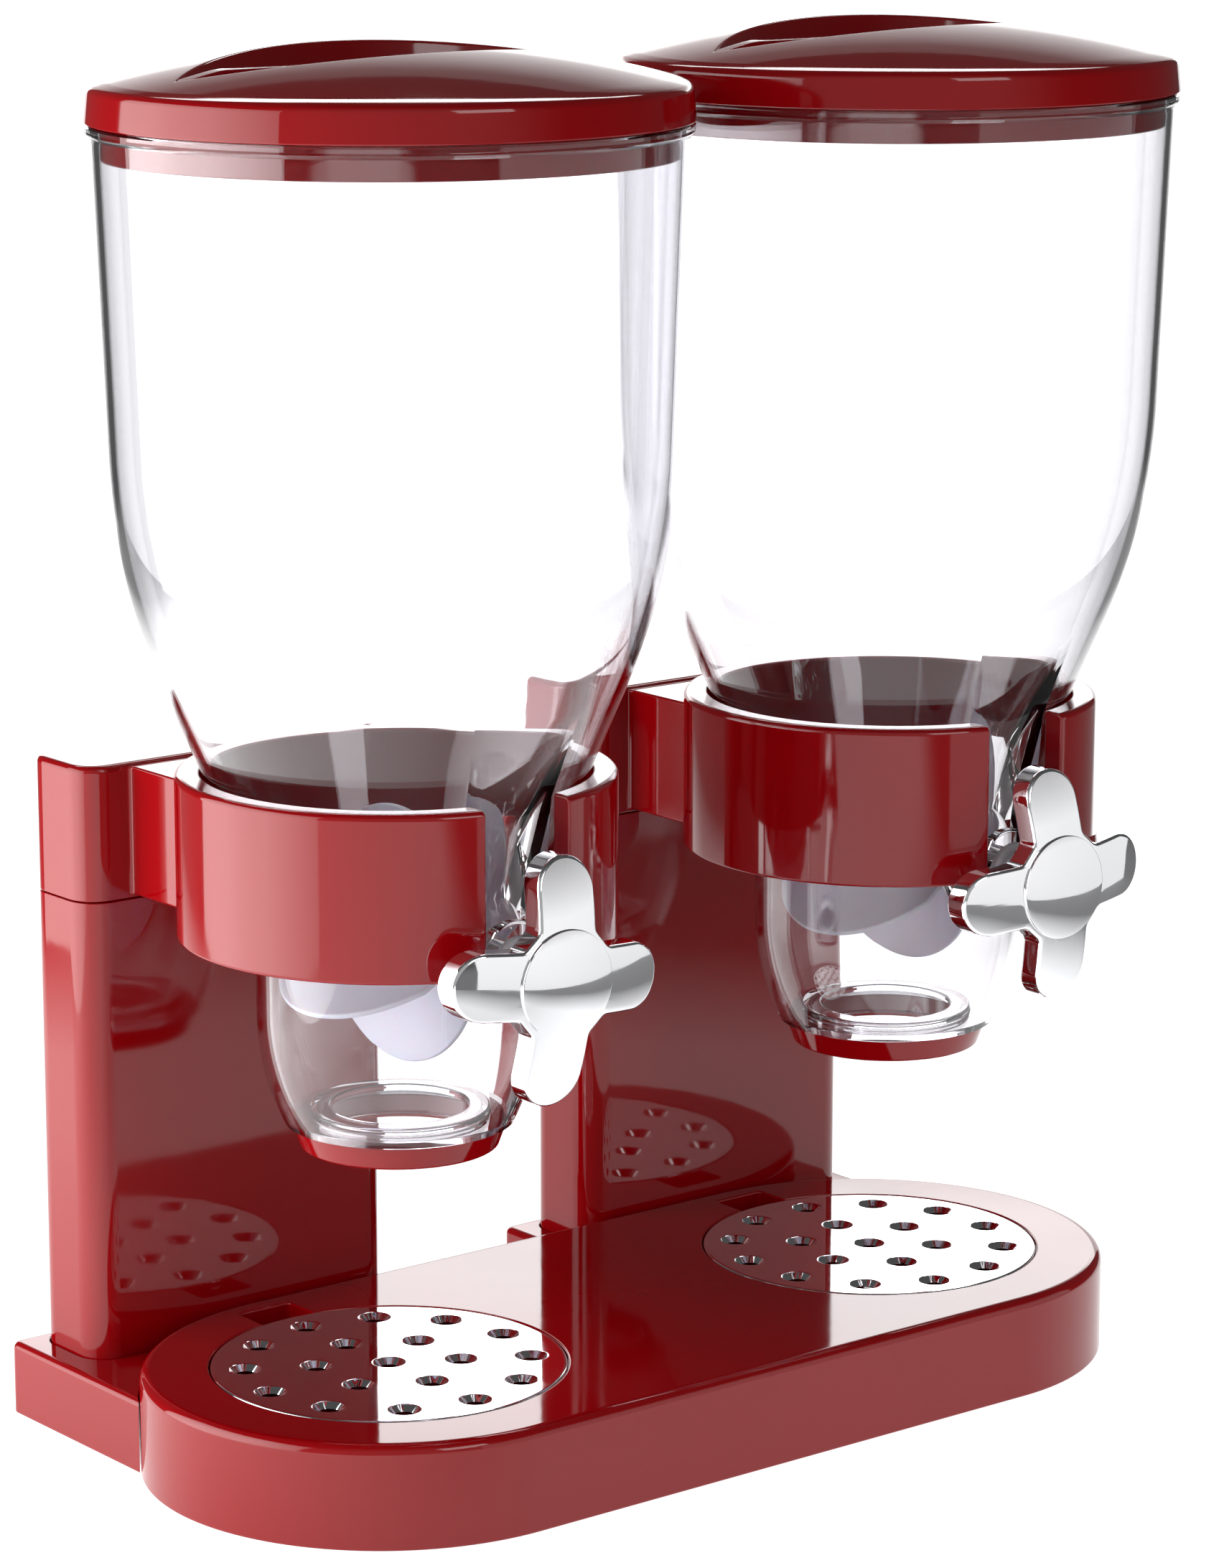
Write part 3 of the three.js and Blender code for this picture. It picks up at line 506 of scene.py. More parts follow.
def holder(unit):
    """The cap over the column, the neck and the open ring, moulded in one."""
    low, high = unit.box("holder")
    column_low, column_high = unit.box("column")
    radius = (high.x - low.x) / 2
    cap_bottom = column_high.z + GAP
    cap_top = high.z - CAP_DROP
    cap_outline = rounded_rectangle(column_low.xy, column_high.xy, COLUMN_CORNER, 12)
    cap = soft_prism("holder", cap_outline, cap_bottom, cap_top, 0.35, 2)
    inset = BASE_WALL + GAP
    plug_outline = rounded_rectangle(
        (column_low.x + inset, column_low.y + inset),
        (column_high.x - inset, column_high.y - inset),
        COLUMN_CORNER - inset,
    )
    plug = soft_prism("plug", plug_outline, low.z, cap_bottom + 5, 0.6, 0)
    plan = neck_outline(unit, radius, column_low.y)
    neck = soft_prism("neck", plan, cap_bottom + NECK_INSET, cap_top - NECK_INSET, 0.7, 0.7)
    cut(neck, soft_prism("bore", circle(radius - 2, unit.x, unit.y), low.z, high.z, 0, 0))
    ring = open_ring(unit, radius, high.z - RING_HEIGHT, high.z)
    return join(cap, plug, neck, ring)


# ---- Canister ----

CANISTER_WALL = 2.3
DRAFT = radians(2)
BULGE_RADIUS = 177.0
BULGE_BELOW_RIM = 81.0
CONE_ANGLE = radians(22.8)
CHAMBER_RADIUS = 38.0
CHAMBER_CURVE = 69.0
CHAMBER_CURVE_HEIGHT = 30.5  # the chamber starts to close in this far above its floor
RIM_STEP = 1.3  # the flange stands out this far from the wall under it
FLANGE = {"top": 4.8, "bottom": 7.4}  # below the rim
NECK_STEP = 2.1  # from the flange's edge in to the rim's collar
WALL_START = 9.5  # the drafted wall starts this far below the rim
BUSH_FLANGE = 2.3  # the bush's flange and its gap stand in front of the collar
OUTLET_SEAT = 24.7
PAD_RECESS = 3.0  # the pad's face lies this far behind the collar's
COLLAR_RADIUS = 12.5
PAD_TOP_HALF = 15.0
PAD_TOP = 46.0  # above the axle
PAD_SHOULDER = 24.0
SOCKET = {"radius": 7.0, "end": 43.0, "hole": 41.0}  # the axle's rear seat, behind the canister's axis


def side_profile(flange, floor, rim, inset):
    """The canister's side from rim to floor as (radius, height) pairs, moved in by an inset.

    It runs down a drafted wall, a bulge, a cone, the chamber and the curve in to its floor.
    """
    rim_radius = flange - RIM_STEP
    start = rim - WALL_START
    bulge_top = start - BULGE_BELOW_RIM
    centre_r = rim_radius - BULGE_BELOW_RIM * tan(DRAFT) - BULGE_RADIUS * cos(DRAFT)
    centre_z = bulge_top + BULGE_RADIUS * sin(DRAFT)
    points = [(rim_radius - inset, start)]
    steps = 28
    for i in range(steps + 1):
        angle = DRAFT + (CONE_ANGLE - DRAFT) * i / steps
        radius = BULGE_RADIUS - inset
        points.append((centre_r + radius * cos(angle), centre_z - radius * sin(angle)))
    cone_r, cone_z = points[-1]
    chamber_top = cone_z - (cone_r - CHAMBER_RADIUS + inset) / tan(CONE_ANGLE)
    blend = 4.0  # the cone turns into the chamber over this height
    blend_steps = 8
    for i in range(blend_steps + 1):
        share = i / blend_steps
        along = (1 - share) ** 2 * blend
        spread = along * tan(CONE_ANGLE)
        points.append((CHAMBER_RADIUS - inset + spread, chamber_top + blend * (1 - 2 * share)))
    curve_top = floor + CHAMBER_CURVE_HEIGHT
    radius = CHAMBER_CURVE - inset
    centre_r = CHAMBER_RADIUS - CHAMBER_CURVE
    reach = asin((curve_top - floor - inset) / radius)
    for i in range(steps + 1):
        angle = reach * i / steps
        points.append((centre_r + radius * cos(angle), curve_top - radius * sin(angle)))
    return points


def pad_outline(inset):
    """The flat pad on the canister's front, wide under the cone and narrow beside the axle."""
    narrow, wide, low, high = COLLAR_RADIUS - inset, PAD_TOP_HALF - inset, inset, PAD_TOP - inset
    right = [(narrow, low), (narrow, PAD_SHOULDER), (wide, high)]
    left = [(-x, y) for x, y in reversed(right)]
    return filleted([(x, y, 0.4) for x, y in right + left], 4)


def canister(unit):
    """The clear hopper: one wall from rim to chamber floor, with the axle's pad, collar and rear socket."""
    low, high = unit.box("canister")
    flange = (high.x - low.x) / 2
    floor, rim = low.z, high.z
    collar = flange - NECK_STEP
    top, bottom = rim - FLANGE["top"], rim - FLANGE["bottom"]
    outside = [
        (0, rim),
        (collar - 0.6, rim),
        (collar - 0.15, rim - 0.2),
        (collar, rim - 0.7),
        (collar, top),
        (flange - 0.5, top),
        (flange, top - 0.5),
        (flange, bottom + 0.5),
        (flange - 0.5, bottom),
        (flange - RIM_STEP, bottom - 0.6),
        *side_profile(flange, floor, rim, 0),
        (0, floor),
    ]
    body = turned("canister", outside, count=192)
    front = unit.front("axle_bush") - BUSH_FLANGE
    collar_post = soft_post("collar", COLLAR_RADIUS, 20, front, 0.8)
    pad = soft_prism("pad", pad_outline, 20, front - PAD_RECESS, 0, 0.9)
    socket = soft_post("socket", SOCKET["radius"], -SOCKET["end"], -20, 0.8)
    spin = Matrix.Rotation(pi / 2, 4, "X")
    lift = Matrix.Translation((0, 0, unit.axle_height))
    for piece in (collar_post, pad, socket):
        piece.data.transform(lift @ spin)
    join(body, collar_post, pad, socket)
    inner = side_profile(flange, floor, rim, CANISTER_WALL)
    space = [(0, rim + 1), (inner[0][0], rim + 1), *inner, (0, floor + CANISTER_WALL)]
    inside = turned("inside", space, count=192)
    bush_hole = soft_post("bush hole", BUSH_RADIUS + GAP, 0, front + 5, 0)
    axle_hole = soft_post("axle hole", AXLE_RADIUS + GAP, -SOCKET["hole"], 0, 0)
    for piece in (bush_hole, axle_hole):
        piece.data.transform(lift @ spin)
    outlet = soft_prism("outlet", circle(OUTLET_SEAT), floor - 1, floor + 12, 0, 0)
    cut(body, inside, bush_hole, axle_hole, outlet)
    return unit.upright(body)


def outlet_collar(unit):
    """The clear collar in the chamber's floor, with a flat lip round the outlet."""
    low, high = unit.box("outlet_collar")
    outside = (high.x - low.x) / 2
    mouth = outside - 5.7
    corners = [
        (mouth, high.z - 2, 0.4),
        (outside - 2, high.z - 2, 0.5),
        (outside - 2, low.z, 0.4),
        (outside, low.z, 0.4),
        (outside, high.z, 0.5),
        (mouth, high.z, 0.5),
    ]
    return unit.upright(soft_turned("outlet collar", corners))


def outlet_ring(unit):
    """The red trim ring round the collar under the chamber."""
    low, high = unit.box("outlet_ring")
    widest = (high.x - low.x) / 2
    inside = OUTLET_SEAT
    corners = [
        (inside, low.z, 0.5),
        (widest - 2.4, low.z, 1.0),
        (widest, high.z, 0.4),
        (inside, high.z, 0.4),
    ]
    return unit.upright(soft_turned("outlet ring", corners))


# ---- Paddle drive ----

AXLE_RADIUS = 3.0
BUSH_RADIUS = 6.5
HUB_RADIUS = 5.5
FLAPS = 6
FLAP_LEAD = 5  # degrees that the flaps stand round from the knob's lobes
FLAP_THICKNESS = 1.6
WHEEL_RADIUS = 35.0
KNOB_TURN = {"left": 5, "right": -5}


def axle_bush(unit):
    """The flanged sleeve in the collar that the axle turns in."""
    bore, front, back = AXLE_RADIUS + GAP, unit.front("axle_bush"), unit.back("axle_bush")
    corners = [
        (bore, back, 0.3),
        (BUSH_RADIUS, back, 0.3),
        (BUSH_RADIUS, front - 2, 0.2),
        (BUSH_RADIUS + 2.5, front - 2, 0.4),
        (BUSH_RADIUS + 2.5, front, 0.6),
        (bore, front, 0.3),
    ]
    return unit.facing(soft_turned("bush", corners, count=72))


def axle(unit):
    """A steel pin with two flats at the knob's end."""
    back, front = unit.back("axle"), unit.front("axle")
    pin = soft_post("axle", AXLE_RADIUS, back, front, 0.4, count=48)
    for side in (-1, 1):
        low, high = sorted((side * (AXLE_RADIUS - 0.6), side * 6))
        flat = rounded_rectangle((-6, low), (6, high), 0.1, 1)
        cut(pin, soft_prism("flat", flat, front - 9, front + 1, 0.2, 0))
    return unit.facing(pin, KNOB_TURN[unit.name])


def paddle_hub(unit):
    """The stiff core that grips the axle inside the wheel."""
    back, front = unit.back("paddle_hub"), unit.front("paddle_hub")
    bore = AXLE_RADIUS + GAP
    corners = [(bore, back, 0.3), (HUB_RADIUS, back, 0.4), (HUB_RADIUS, front, 0.4), (bore, front, 0.3)]
    return unit.facing(soft_turned("hub", corners, count=48), KNOB_TURN[unit.name])


def flap(half, angle):
    """One soft flap: half a disc that stands on the wheel's sleeve, cut square at its ends."""

    def outline(inset):
        radius, end = WHEEL_RADIUS - inset, half - inset
        reach = acos(end / radius)
        steps = 32
        spokes = [reach + (pi - 2 * reach) * i / steps for i in range(steps + 1)]
        arc = [(radius * cos(a), radius * sin(a)) for a in spokes]
        return [(-end, HUB_RADIUS + 1), (end, HUB_RADIUS + 1)] + arc

    blade = soft_prism("flap", outline, -FLAP_THICKNESS / 2, FLAP_THICKNESS / 2, 0.5, 0.5)
    across, out = Vector((0, 0, 1)), Vector((cos(angle), sin(angle), 0))
    axes = Matrix((across, out, across.cross(out))).transposed().to_4x4()
    return moved(blade, axes)


def paddle_wheel(unit):
    """The soft wheel: a sleeve on the hub with flaps all round."""
    half = unit.front("paddle_wheel")
    sleeve = soft_post("wheel", HUB_RADIUS + 2.5, -half, half, 0.6, count=72)
    first = pi / 2 + radians(FLAP_LEAD)
    join(sleeve, *(flap(half, first + 2 * pi * i / FLAPS) for i in range(FLAPS)))
    cut(sleeve, soft_post("bore", HUB_RADIUS + GAP, -half - 2, half + 2, 0, count=72))
    return unit.facing(sleeve, KNOB_TURN[unit.name])


LOBES = 4
LOBE_REACH = 33.0
LOBE_HALF = 9.0
LOBE_CORNER = 13.6  # where a lobe's side meets the short diagonal to the next lobe
KNOB_THICKNESS = 7.0
KNOB_RISE = 5.5  # the knob's middle bulges this far in front of the tips
KNOB_EDGE = 0.9
CROWN_RADIUS = 14.5
CROWN_STEP = 0.9
STUB_RADIUS = 7.0


def knob_outline(inset):
    """Four round-ended lobes joined by short diagonals, moved in by an inset."""
    half = LOBE_HALF - inset
    corner = LOBE_CORNER - inset * (sqrt(2) - 1)
    lobe = [
        (LOBE_REACH - inset, -half, half - 0.02),
        (LOBE_REACH - inset, half, half - 0.02),
        (corner, half, 3.0 + inset),
        (half, corner, 3.0 + inset),
    ]
    corners = []
    for i in range(LOBES):
        turn = Matrix.Rotation(2 * pi * i / LOBES, 2)
        corners += [(*(turn @ Vector((x, y))), radius) for x, y, radius in lobe]
    return filleted(corners, 12, 3)


def knob_plate(middle):
    """The bulging lobes, from the middle of their back round to the middle of their front."""

    def bulge(x, y):
        return middle - KNOB_RISE * min(1.0, hypot(x, y) / LOBE_REACH) ** 2

    def layer(scale, inset, lift):
        points = [(x * scale, y * scale) for x, y in knob_outline(inset)]
        return [(x, y, bulge(x, y) - KNOB_THICKNESS + lift) for x, y in points]

    layers = 8
    inward = [1 - i / layers for i in range(1, layers)]
    lower = [(KNOB_EDGE * left, KNOB_EDGE * risen) for left, risen in quarter_arc(5)]
    rings = [layer(scale, KNOB_EDGE, 0) for scale in reversed(inward)]
    rings += [layer(1, inset, lift) for inset, lift in lower]
    rings += [layer(1, inset, KNOB_THICKNESS - lift) for inset, lift in reversed(lower)]
    rings += [layer(scale, KNOB_EDGE, KNOB_THICKNESS) for scale in inward]
    return surface("knob", rings)


def knob_crown(middle, top):
    """The low dome in the middle of the knob's face, with a step all round its edge."""
    edge = middle - KNOB_RISE * (CROWN_RADIUS / LOBE_REACH) ** 2
    profile = [(0, edge - 3), (CROWN_RADIUS, edge - 3), (CROWN_RADIUS, edge + CROWN_STEP - 0.3)]
    profile.append((CROWN_RADIUS - 0.1, edge + CROWN_STEP - 0.1))
    steps = 10
    for i in range(steps + 1):
        share = 1 - i / steps
        height = edge + CROWN_STEP + (top - edge - CROWN_STEP) * (1 - share**2)
        profile.append((share * (CROWN_RADIUS - 0.3), height))
    return turned("crown", profile, count=96)


def knob(unit):
    """The chrome knob: bulging lobes round a low dome, on a stub that hides the axle's end."""
    back, top = unit.back("knob"), unit.front("knob")
    middle = top - 1.5
    piece = knob_plate(middle)
    stub = soft_post("stub", STUB_RADIUS, back, middle - 3, 0.6, count=72)
    socket = soft_post("socket", AXLE_RADIUS + GAP, back - 2, unit.front("axle") + GAP, 0, count=48)
    cut(join(piece, knob_crown(middle, top), stub), socket)
    return unit.facing(piece, KNOB_TURN[unit.name])


# ---- Lid ----

DOME_RADIUS = 302.0  # of the lid's shallow dome
LID_WALL = 2.2
POCKET_HALF = 65.0
POCKET_HALF_WIDTH = 26.0
POCKET_DEPTH = 13.1  # from the lid's top to the pocket's floor
POCKET_LEAN = 3.0  # the floor is this much smaller than the mouth all round
BAR_HALF = 2.25
BAR_DROP = 3.7  # the bar's flat top lies this far below the lid's
SKIRT_INSET = 4.2
SKIRT_WALL = 1.8
BAND_WALL = 1.8
BAND_BOTTOM = 9.0  # above the skirt's lower edge
CEILING = 15.5
LID_SPOKES = 256


def lid_circle(radius):
    spokes = [2 * pi * i / LID_SPOKES for i in range(LID_SPOKES)]
    return [(radius * cos(a), radius * sin(a)) for a in spokes]


def lens(offset):
    """The pocket's outline, two arcs that meet in a tip at each side, grown by an offset."""
    half, width = POCKET_HALF + 1.45 * offset, POCKET_HALF_WIDTH + offset
    radius = (half**2 + width**2) / (2 * width)
    reach = atan2(half, radius - width)
    points = []
    for i in range(LID_SPOKES):
        around = 2 * pi * i / LID_SPOKES
        quarter = asin(min(1.0, abs(sin(around)))) / (pi / 2)
        angle = (1 - quarter) * reach
        x, y = radius * sin(angle), radius * cos(angle) - radius + width
        points.append((x if cos(around) >= 0 else -x, y if sin(around) >= 0 else -y))
    return points


def skirt_profile(radius, low):
    """The skirt and the band round the lid, from inside to outside, as (radius, height) pairs."""
    skirt = radius - SKIRT_INSET
    bore = skirt - SKIRT_WALL
    band = radius - BAND_WALL
    band_low = low + BAND_BOTTOM
    return [
        (bore, low + 0.3),
        (bore + 0.3, low),
        (skirt - 0.3, low),
        (skirt, low + 0.3),
        (skirt, low + CEILING),
        (band, low + CEILING),
        (band, band_low + 0.3),
        (band + 0.3, band_low),
        (radius - 0.5, band_low),
        (radius - 0.15, band_low + 0.15),
        (radius, band_low + 0.5),
    ]


def lid_shell(radius, low, high):
    """The lid's skin in one run: the bowl's underside, the skirt, the dome and the pocket."""
    apex = high + DOME_RADIUS - sqrt(DOME_RADIUS**2 - POCKET_HALF_WIDTH**2)
    floor = high - POCKET_DEPTH

    def dome(x, y):
        return apex - DOME_RADIUS + sqrt(DOME_RADIUS**2 - x**2 - y**2)

    def level(points, height):
        return [(x, y, height) for x, y in points]

    def draped(points, drop):
        return [(x, y, dome(x, y) - drop) for x, y in points]

    def between(outer, inner, drop, steps):
        mixed = []
        for step in range(steps + 1):
            share = step / steps
            points = [(a + (c - a) * share, b + (d - b) * share) for (a, b), (c, d) in zip(outer, inner)]
            mixed.append(draped(points, drop))
        return mixed

    bowl = -POCKET_LEAN + LID_WALL
    underside = floor - LID_WALL
    roll = ((1.5, 0), (0.4, 0.4), (0, 1.5))
    rings = [level(lens(bowl - inset), underside + lift) for inset, lift in roll]
    skirt = skirt_profile(radius, low)
    bore = skirt[0][0]
    rings += reversed(between(lid_circle(bore), lens(LID_WALL), LID_WALL, 8))
    rings += [level(lid_circle(r), z) for r, z in skirt]
    edge = 2.6
    rim = radius - 0.7
    shoulder_turn = pi / 2 - 0.25
    shoulder_steps = 7
    shoulder_top = dome(rim - edge, 0) - 0.32
    for i in range(shoulder_steps + 1):
        angle = shoulder_turn * i / shoulder_steps
        r = rim - edge * (1 - cos(angle))
        rings.append(level(lid_circle(r), shoulder_top - edge * (1 - sin(angle))))
    rings += between(lid_circle(rim - edge - 0.8), lens(1.0), 0, 16)
    rings += [draped(lens(left), risen) for left, risen in quarter_arc(5)[1:]]
    corner = 2.0
    foot = -POCKET_LEAN + 0.25
    for share in (0.0, 0.35, 0.7, 1.0):
        angle = pi / 2 * share
        rings.append(level(lens(foot - corner * (1 - cos(angle))), floor + corner * (1 - sin(angle))))
    return surface("lid", rings), dome, floor


def lid_bar(dome, floor, top):
    """The grip bar across the pocket, its flat top running into the dome at both tips."""
    steps = 48
    rings = []
    for i in range(steps + 1):
        x = (POCKET_HALF + 0.5) * (2 * i / steps - 1)
        height = min(top, dome(x, 0) - 0.15)
        corners = [
            (-BAR_HALF - 0.6, floor - 1, 0.05),
            (BAR_HALF + 0.6, floor - 1, 0.05),
            (BAR_HALF, height, 0.7),
            (-BAR_HALF, height, 0.7),
        ]
        rings.append([(x, y, z) for y, z in filleted(corners, 4)])
    return surface("bar", rings)


def lid(unit):
    low, high = unit.box("lid")
    shell, dome, floor = lid_shell((high.x - low.x) / 2, low.z, high.z)
    bar = lid_bar(dome, floor, high.z - BAR_DROP)
    return unit.upright(gathered([shell, bar]))


def lid_seal(unit):
    low, high = unit.box("lid_seal")
    outside = (high.x - low.x) / 2
    inside = outside - 1.6
    corners = [(inside, low.z, 0.4), (outside, low.z, 0.4), (outside, high.z, 0.4), (inside, high.z, 0.4)]
    return unit.upright(soft_turned("seal", corners))


# ---- Small parts ----


def rubber_foot(unit, node):
    low, high = unit.box(node)
    radius = (high.x - low.x) / 2
    sole = unit.box("rear_foot")[0].z - GAP
    profile = [
        (0, low.z + 0.25),
        (radius * 0.55, low.z),
        (radius - 0.9, low.z),
        (radius - 0.5, low.z + 0.2),
        (radius, sole - 0.3),
        (radius - 0.3, sole),
        (2.5, sole),
        (2.5, high.z - 0.4),
        (2.1, high.z),
        (0, high.z),
    ]
    return turned("foot", profile, (low.x + high.x) / 2, (low.y + high.y) / 2, 48)


def screw(unit, node):
    """A pan-head screw with a cross recess, its thread cut as close grooves."""
    low, high = unit.box(node)
    x, y = (low.x + high.x) / 2, (low.y + high.y) / 2
    head = (high.x - low.x) / 2
    under = low.z + 2
    profile = [(0, low.z), (head * 0.6, low.z), (head * 0.88, low.z + 0.3), (head, low.z + 1)]
    profile += [(head, under), (1.5, under)]
    pitch = 1.0
    height = under + pitch / 2
    while height < high.z - pitch:
        profile += [(1.5, height), (1.1, height + pitch / 2)]
        height += pitch
    profile += [(1.1, high.z - 0.6), (0.3, high.z), (0, high.z)]
    body = turned("screw", profile, x, y, 32)
    for half_x, half_y in ((1.9, 0.35), (0.35, 1.9)):
        slot = rounded_rectangle((x - half_x, y - half_y), (x + half_x, y + half_y), 0.1, 2)
        cut(body, soft_prism("slot", slot, low.z - 1, low.z + 1.1, 0, 0.2))
    return body


# ---- Materials ----


class Paint:
    """A material under construction: its node tree, its shader and a shorthand for new nodes."""

    def __init__(self, name):
        self.material = bpy.data.materials.new(name)
        self.material.use_nodes = True
        self.tree = self.material.node_tree
        self.shader = self.tree.nodes["Principled BSDF"]
        self.place = self.tree.nodes.new("ShaderNodeTexCoord").outputs["Object"]

    def set(self, **values):
        for name, value in values.items():
            self.shader.inputs[name.replace("_", " ")].default_value = value

    def noise(self, scale, detail=3.0, stretch=(1, 1, 1)):
        """A noise value over the object, its scale in waves per metre."""
        mapping = self.tree.nodes.new("ShaderNodeMapping")
        mapping.inputs["Scale"].default_value = stretch
        self.tree.links.new(self.place, mapping.inputs["Vector"])
        texture = self.tree.nodes.new("ShaderNodeTexNoise")
        texture.inputs["Scale"].default_value = scale
        texture.inputs["Detail"].default_value = detail
        self.tree.links.new(mapping.outputs["Vector"], texture.inputs["Vector"])
        return texture.outputs["Fac"]

    def between(self, value, low, high, start=0.3, end=0.7):
        """A value remapped to run from low to high."""
        node = self.tree.nodes.new("ShaderNodeMapRange")
        for name, number in (("From Min", start), ("From Max", end), ("To Min", low), ("To Max", high)):
            node.inputs[name].default_value = number
        self.tree.links.new(value, node.inputs["Value"])
        return node.outputs["Result"]

    def mix(self, value, first, second):
        """A colour between two colours."""
        node = self.tree.nodes.new("ShaderNodeMix")
        node.data_type = "RGBA"
        node.inputs["A"].default_value = (*first, 1)
        node.inputs["B"].default_value = (*second, 1)
        self.tree.links.new(value, node.inputs["Factor"])
        return node.outputs["Result"]

    def drive(self, socket, output):
        self.tree.links.new(output, self.shader.inputs[socket])

    def bump(self, height, distance, strength=1.0):
        """Fine relief, its depth in metres."""
        node = self.tree.nodes.new("ShaderNodeBump")
        node.inputs["Distance"].default_value = distance
        node.inputs["Strength"].default_value = strength
        self.tree.links.new(height, node.inputs["Height"])
        self.tree.links.new(node.outputs["Normal"], self.shader.inputs["Normal"])


def red_plastic():
    """Glossy moulded plastic: a faint sink-mark ripple, smudges and a little colour drift."""
    paint = Paint("red plastic")
    paint.set(IOR=1.5)
    paint.drive("Base Color", paint.mix(paint.noise(9), (0.23, 0.0005, 0.0018), (0.27, 0.0008, 0.0029)))
    paint.drive("Roughness", paint.between(paint.noise(28, 5), 0.035, 0.09))
    paint.bump(paint.noise(55, 2), 0.00012, 0.25)
    return paint.material


def clear_plastic():
    """Polished clear styrene with a trace of lavender, slightly wavy from the mould."""
    paint = Paint("clear plastic")
    paint.set(IOR=1.47, Transmission_Weight=1.0)
    paint.drive("Base Color", paint.mix(paint.noise(6), (0.968, 0.962, 0.990), (0.982, 0.978, 0.996)))
    paint.drive("Roughness", paint.between(paint.noise(35, 4), 0.0, 0.02))
    paint.bump(paint.noise(26, 1), 0.00025, 0.12)
    return paint.material


def chrome_plate():
    """Bright plating over plastic: wiping marks and a very slight unevenness."""
    paint = Paint("chrome plate")
    paint.set(Metallic=1.0)
    paint.drive("Base Color", paint.mix(paint.noise(30, 4), (0.86, 0.87, 0.89), (0.93, 0.93, 0.95)))
    paint.drive("Roughness", paint.between(paint.noise(90, 6), 0.02, 0.06))
    paint.bump(paint.noise(45, 2), 0.0002, 0.12)
    return paint.material


def soft_silicone():
    """Milky, faintly lavender silicone with a matt skin."""
    paint = Paint("soft silicone")
    paint.set(Subsurface_Weight=0.35, Subsurface_Scale=0.004, Transmission_Weight=0.15, IOR=1.42)
    paint.drive("Base Color", paint.mix(paint.noise(40), (0.80, 0.78, 0.90), (0.87, 0.85, 0.95)))
    paint.drive("Roughness", paint.between(paint.noise(300, 4), 0.3, 0.45))
    paint.bump(paint.noise(500, 2), 0.00005, 0.3)
    return paint.material


def white_plastic():
    paint = Paint("white plastic")
    paint.drive("Base Color", paint.mix(paint.noise(60), (0.78, 0.78, 0.80), (0.85, 0.85, 0.87)))
    paint.drive("Roughness", paint.between(paint.noise(200, 4), 0.25, 0.4))
    paint.bump(paint.noise(600, 2), 0.00004, 0.3)
    return paint.material


def axle_steel():
    """Drawn steel bar: fine marks along its length."""
    paint = Paint("axle steel")
    paint.set(Metallic=1.0)
    paint.drive("Base Color", paint.mix(paint.noise(80), (0.52, 0.53, 0.55), (0.66, 0.67, 0.69)))
    streaks = paint.noise(900, 3, (1, 0.03, 1))
    paint.drive("Roughness", paint.between(streaks, 0.2, 0.4))
    paint.bump(streaks, 0.00003, 0.5)
    return paint.material


def screw_steel():
    """Zinc-plated steel, clouded and slightly yellow in places."""
    paint = Paint("screw steel")
    paint.set(Metallic=1.0)
    paint.drive("Base Color", paint.mix(paint.noise(250, 4), (0.56, 0.56, 0.54), (0.70, 0.68, 0.62)))
    paint.drive("Roughness", paint.between(paint.noise(500, 5), 0.25, 0.5))
    paint.bump(paint.noise(1200, 3), 0.00003, 0.5)
    return paint.material


def foot_rubber():
    """Black rubber with a dusty, grained skin."""
    paint = Paint("foot rubber")
    paint.drive("Base Color", paint.mix(paint.noise(200, 5), (0.012, 0.012, 0.013), (0.035, 0.034, 0.033)))
    paint.drive("Roughness", paint.between(paint.noise(400, 4), 0.6, 0.85))
    paint.bump(paint.noise(1500, 3), 0.00008, 0.6)
    return paint.material


# ---- The object ----


def dress(piece, node, body, material):
    """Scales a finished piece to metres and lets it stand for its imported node."""
    piece.name = node + "_look"
    piece.data.name = piece.name
    moved(piece, Matrix.Scale(METRES, 4))
    piece.data.materials.clear()
    piece.data.materials.append(material)
    smooth(piece)
    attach(piece, body)
    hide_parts(node)


def dress_unit(unit, materials):
    """Every piece of one dispenser, by the body it moves with."""
    name = unit.name
    pieces = [
        (drip_tray, "drip_tray", f"{name}_tray_body", "chrome_plate"),
        (crumb_cup, "crumb_cup", "stand", "red_plastic"),
        (rear_foot, "rear_foot", "stand", "red_plastic"),
        (column, "column", "stand", "red_plastic"),
        (holder, "holder", "stand", "red_plastic"),
        (canister, "canister", f"{name}_canister_body", "clear_plastic"),
        (outlet_collar, "outlet_collar", f"{name}_canister_body", "clear_plastic"),
        (outlet_ring, "outlet_ring", f"{name}_canister_body", "red_plastic"),
        (axle_bush, "axle_bush", f"{name}_canister_body", "white_plastic"),
        (lid, "lid", f"{name}_lid_body", "red_plastic"),
        (lid_seal, "lid_seal", f"{name}_lid_body", "soft_silicone"),
        (knob, "knob", f"{name}_drive_body", "chrome_plate"),
        (axle, "axle", f"{name}_drive_body", "axle_steel"),
        (paddle_hub, "paddle_hub", f"{name}_drive_body", "white_plastic"),
        (paddle_wheel, "paddle_wheel", f"{name}_drive_body", "soft_silicone"),
    ]
    for build, node, body, slot in pieces:
        dress(build(unit), f"{name}_{node}", body, materials[slot])
    for node in ("front_rubber_foot", "rear_rubber_foot_1", "rear_rubber_foot_2"):
        dress(rubber_foot(unit, node), f"{name}_{node}", "stand", materials["foot_rubber"])
    for node in ("base_screw_1", "base_screw_2", "column_screw_1", "column_screw_2"):
        dress(screw(unit, node), f"{name}_{node}", "stand", materials["screw_steel"])


# ---- Studio ----

VIEW_TURN = -38.39  # degrees that the camera and the far floor are turned from the front


